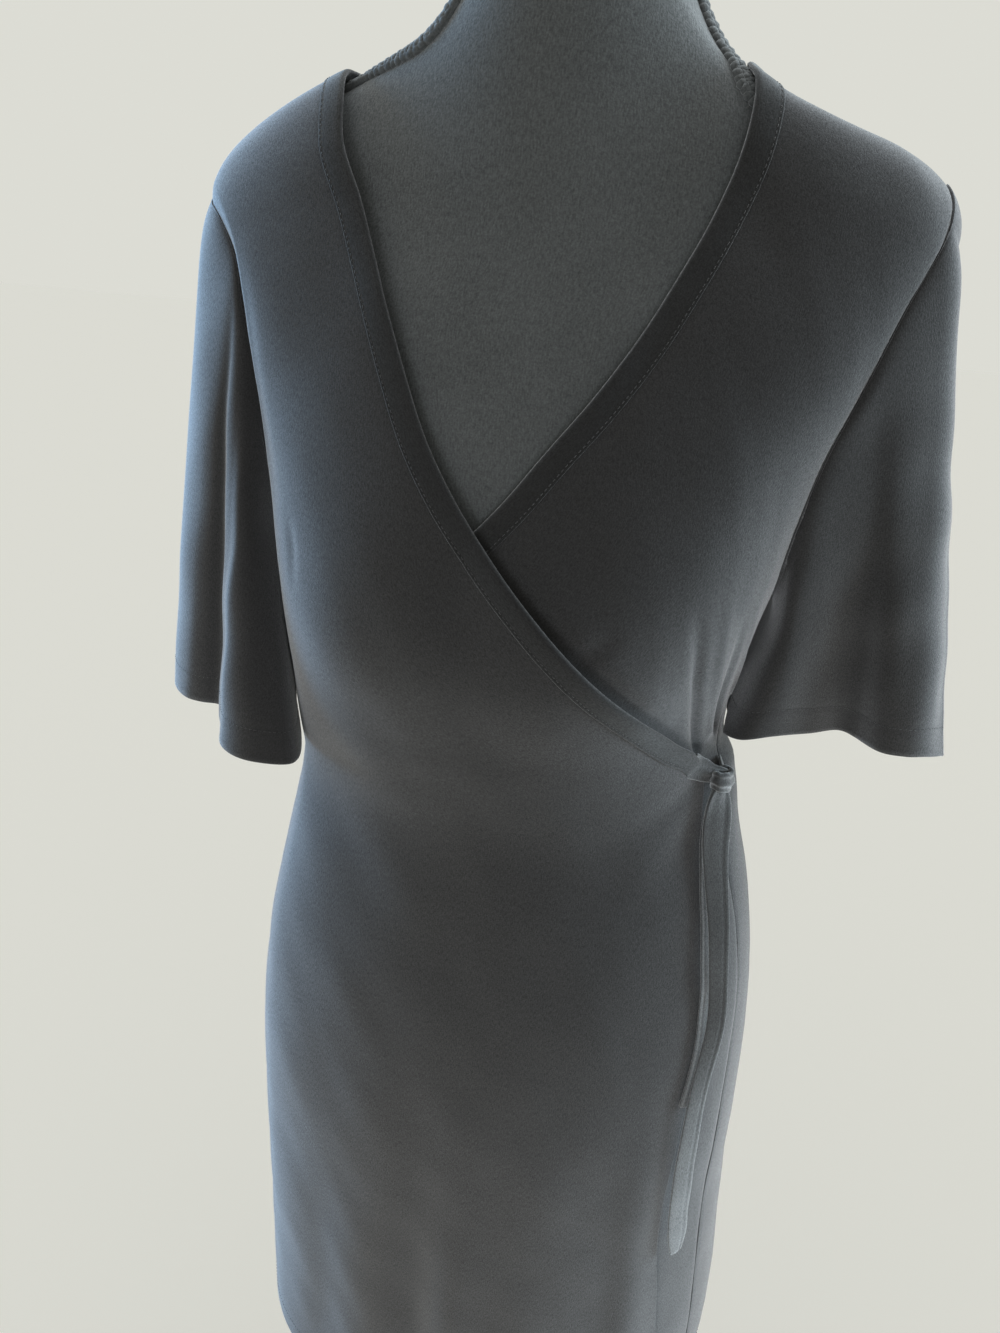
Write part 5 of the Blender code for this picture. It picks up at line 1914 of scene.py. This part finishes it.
SLEEVES = (
    Sleeve("sleeve_right_cloth", "sleeve_right", -1, (
        # share outward forward lift
        (0.00, 0.257, -0.005, 0.000), (0.08, 0.250, 0.032, 0.000), (0.15, 0.226, 0.054, 0.001),
        (0.21, 0.200, 0.058, 0.001), (0.26, 0.186, 0.075, 0.001), (0.31, 0.170, 0.100, 0.000),
        (0.37, 0.142, 0.108, -0.001), (0.42, 0.120, 0.094, -0.004), (0.47, 0.133, 0.062, -0.003),
        (0.53, 0.161, 0.020, 0.000), (0.60, 0.163, -0.020, 0.002), (0.67, 0.154, -0.055, 0.000),
        (0.75, 0.166, -0.085, -0.003), (0.83, 0.200, -0.088, -0.002), (0.92, 0.238, -0.060, 0.001),
        (1.00, 0.257, -0.005, 0.000),
    ), 1.092, (
        # share drift width start rise
        (0.86, 0.0, 0.035, 0.25, 0.0040), (0.78, 0.0, 0.030, 0.30, -0.0040), (0.70, 0.0, 0.030, 0.30, 0.0030),
        (0.195, 0.015, 0.016, 0.10, -0.0040),
    ), 31),
    Sleeve("sleeve_left_cloth", "sleeve_left", 1, (
        # share outward forward lift
        (0.00, 0.268, -0.022, -0.007), (0.07, 0.256, -0.004, -0.001), (0.14, 0.241, 0.004, 0.000),
        (0.20, 0.226, 0.003, 0.000), (0.25, 0.213, -0.009, 0.001), (0.30, 0.202, -0.008, 0.004),
        (0.36, 0.184, 0.006, 0.005), (0.42, 0.163, 0.022, 0.006), (0.47, 0.144, 0.025, 0.002),
        (0.52, 0.1293, 0.010, 0.000), (0.58, 0.1240, -0.018, 0.001), (0.66, 0.124, -0.055, 0.005),
        (0.74, 0.148, -0.090, 0.002), (0.83, 0.196, -0.106, -0.004), (0.92, 0.243, -0.080, -0.008),
        (1.00, 0.268, -0.022, -0.007),
    ), 1.124, (
        # share drift width start rise
        (0.86, 0.0, 0.035, 0.25, -0.0035), (0.78, 0.0, 0.030, 0.30, 0.0035), (0.93, 0.0, 0.030, 0.3, 0.0030),
    ), 37),
)
FRONT_TIE = Strand("tie_front_cloth", ("tie_front",), (
    # height angle out width
    (1.1050, -18.0, 0.0114, 0.0115), (1.0975, -19.0, 0.0124, 0.0165), (1.0850, -19.7, 0.0132, 0.0184),
    (1.0500, -20.8, 0.0134, 0.0160), (1.0000, -22.5, 0.0132, 0.0130), (0.9500, -23.7, 0.0126, 0.0120),
    (0.9000, -26.9, 0.0112, 0.0125), (0.8400, -28.4, 0.0105, 0.0150), (0.7800, -27.7, 0.0105, 0.0165),
    (0.7450, -26.6, 0.0105, 0.0155), (0.7270, -26.2, 0.0105, 0.0090),
), 0.0019, 0.035, 0.55, 4, 28.0)
SIDE_TIE = Strand("tie_side_cloth", ("tie_side",), (
    # height angle out width
    (1.1050, -17.8, 0.0092, 0.009), (1.0900, -19.6, 0.0082, 0.0105), (1.0500, -21.9, 0.0078, 0.011),
    (1.0000, -24.0, 0.0076, 0.011), (0.9400, -25.4, 0.0076, 0.013), (0.8800, -28.8, 0.0076, 0.015),
), 0.0016, 0.030, -0.55, 9)
COVER_SEAMS = (
    # name, rows of angle and height, width, pucker
    ("cover_seam_left", (
        (-3.0, 1.535), (-5.0, 1.515), (-7.0, 1.4985), (-11.0, 1.487), (-15.0, 1.477), (-18.4, 1.4699),
        (-19.5, 1.4635), (-19.0, 1.457),
    ), 0.0085, 0.0005),
    ("cover_seam_right", (
        (-136.0, 1.520), (-139.0, 1.4980), (-143.5, 1.4860), (-149.8, 1.4781), (-155.6, 1.4738),
        (-160.0, 1.4700), (-164.0, 1.4660), (-166.0, 1.4610), (-167.0, 1.456),
    ), 0.0055, 0.0003),
)


def dress(crepe: bpy.types.Material, folded: bpy.types.Material, painted_light_ties: bpy.types.Material,
          thread: bpy.types.Material) -> list[bpy.types.Object]:
    """Builds every piece of the dress.

    Args:
        crepe: the cloth's material.
        folded: the same cloth where it is folded and pressed, as a darker copy with a weaker sheen: painted shade on
            the neck bands and on the light rims of their rolled edges.
        painted_light_ties: the same cloth on the ties and the knot, as a brighter copy with a stronger sheen:
            painted light for the extra light they catch where they stand off the dress.
        thread: the stitching's material.

    Returns:
        The pieces.
    """
    upper = CUT.front(CUT.right_front_armhole, CUT.crossing_edge, CUT.right_band_drop)
    lower = CUT.other_front(CUT.front(CUT.left_front_armhole, CUT.lower_crossing_edge, CUT.left_band_drop))
    rear = CUT.back()
    rows = steps(len(upper) - 1, *ROW_STEPS)
    across = steps(CUT.front_columns, *FRONT_STEPS)
    right = Panel("front_right_cloth", "front_right", upper, rows, across, Edge.SEAM, Edge.TURNED,
                  FRONT_CREASES, 11, CUT.overlap_rise)
    left = Panel("front_left_cloth", "front_left", lower, rows, CUT.front_columns - across[::-1],
                 Edge.TURNED, Edge.SEAM, UNDER_CREASES, 11)
    back = Panel("back_cloth", "back", rear, rows, steps(rear.shape[1] - 1, *BACK_STEPS), Edge.SEAM, Edge.SEAM,
                 BACK_CREASES, 17)
    pieces = []
    for panel, flat, area in ((right, (0.44, 1.03), 0.33), (left, (0.44, 1.03), 0.33), (back, (0.62, 1.02), 0.54)):
        made = panel.build(crepe)
        pieces.append(made)
        LOG.info("%s: %d faces", made.name, len(made.data.polygons))
    band, stitch = NeckBand(), Topstitch()
    strips = [
        band.front("neck_band_right_cloth", right, ("neck_band_right",), folded, thread, stitch, True),
        band.front("neck_band_left_cloth", left, ("neck_band_left",), folded, thread, stitch, False),
        band.back("neck_band_back_cloth", back, np.stack([lower[0, 1], upper[0, -2]]), folded, thread, stitch),
    ]
    for (strip, seam), length in zip(strips, (0.55, 0.55, 0.345)):
        pieces += [strip, seam]
    for sleeve, flat, area in ((SLEEVES[0], (0.44, 0.31), 0.104), (SLEEVES[1], (0.38, 0.29), 0.083)):
        made, seam = sleeve.build(crepe, thread, stitch)
        pieces += [made, seam]
        LOG.info("%s: %d faces", made.name, len(made.data.polygons))
    for tie, flat in ((FRONT_TIE, (0.0175, 0.39)), (SIDE_TIE, (0.0145, 0.235))):
        made = tie.build(painted_light_ties)
        pieces.append(made)
    knot = Knot()
    wrap, tail, root = knot.wrap(painted_light_ties), knot.tail(painted_light_ties), knot.root(painted_light_ties)
    pieces += [wrap, tail, root]
    for panel in (right, left, back):
        down = panel.surface(np.linspace(len(upper) - 2, len(upper) - 1, HEM_STATIONS), panel.columns)
        hem = run_along(down, 0)[-1:] - run_along(down, 0)
        line = ring_at(down, hem, HEM_STITCH_HEIGHT)
        off = BODY.normal(line)
        pieces.append(stitch.build(panel.name + "_hem_stitches", line + off * HEM_STITCH_OUT, off, thread))
    return pieces


def main() -> None:
    """Builds the studio, the form, the stand and the dress, and rides every piece on the root body."""
    logging.basicConfig(level=logging.INFO, format="%(message)s")
    Studio().build()
    jersey, paint = JERSEY.material(), PaintFinish().material()
    form = DressForm()
    pieces = [
        form.build(jersey),
        *(form.cover_seam(name, path, width, pucker, jersey) for name, path, width, pucker in COVER_SEAMS),
    ]
    stand = Stand().build(paint)
    pieces += stand + dress(CREPE.material(), PAINTED_SHADE_BAND_CREPE.material(), PAINTED_LIGHT_TIE_CREPE.material(), THREAD.material())
    for piece in pieces:
        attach(piece, "root")
        LOG.info("%s: %d faces", piece.name, len(piece.data.polygons))


if __name__ == "__main__":
    main()
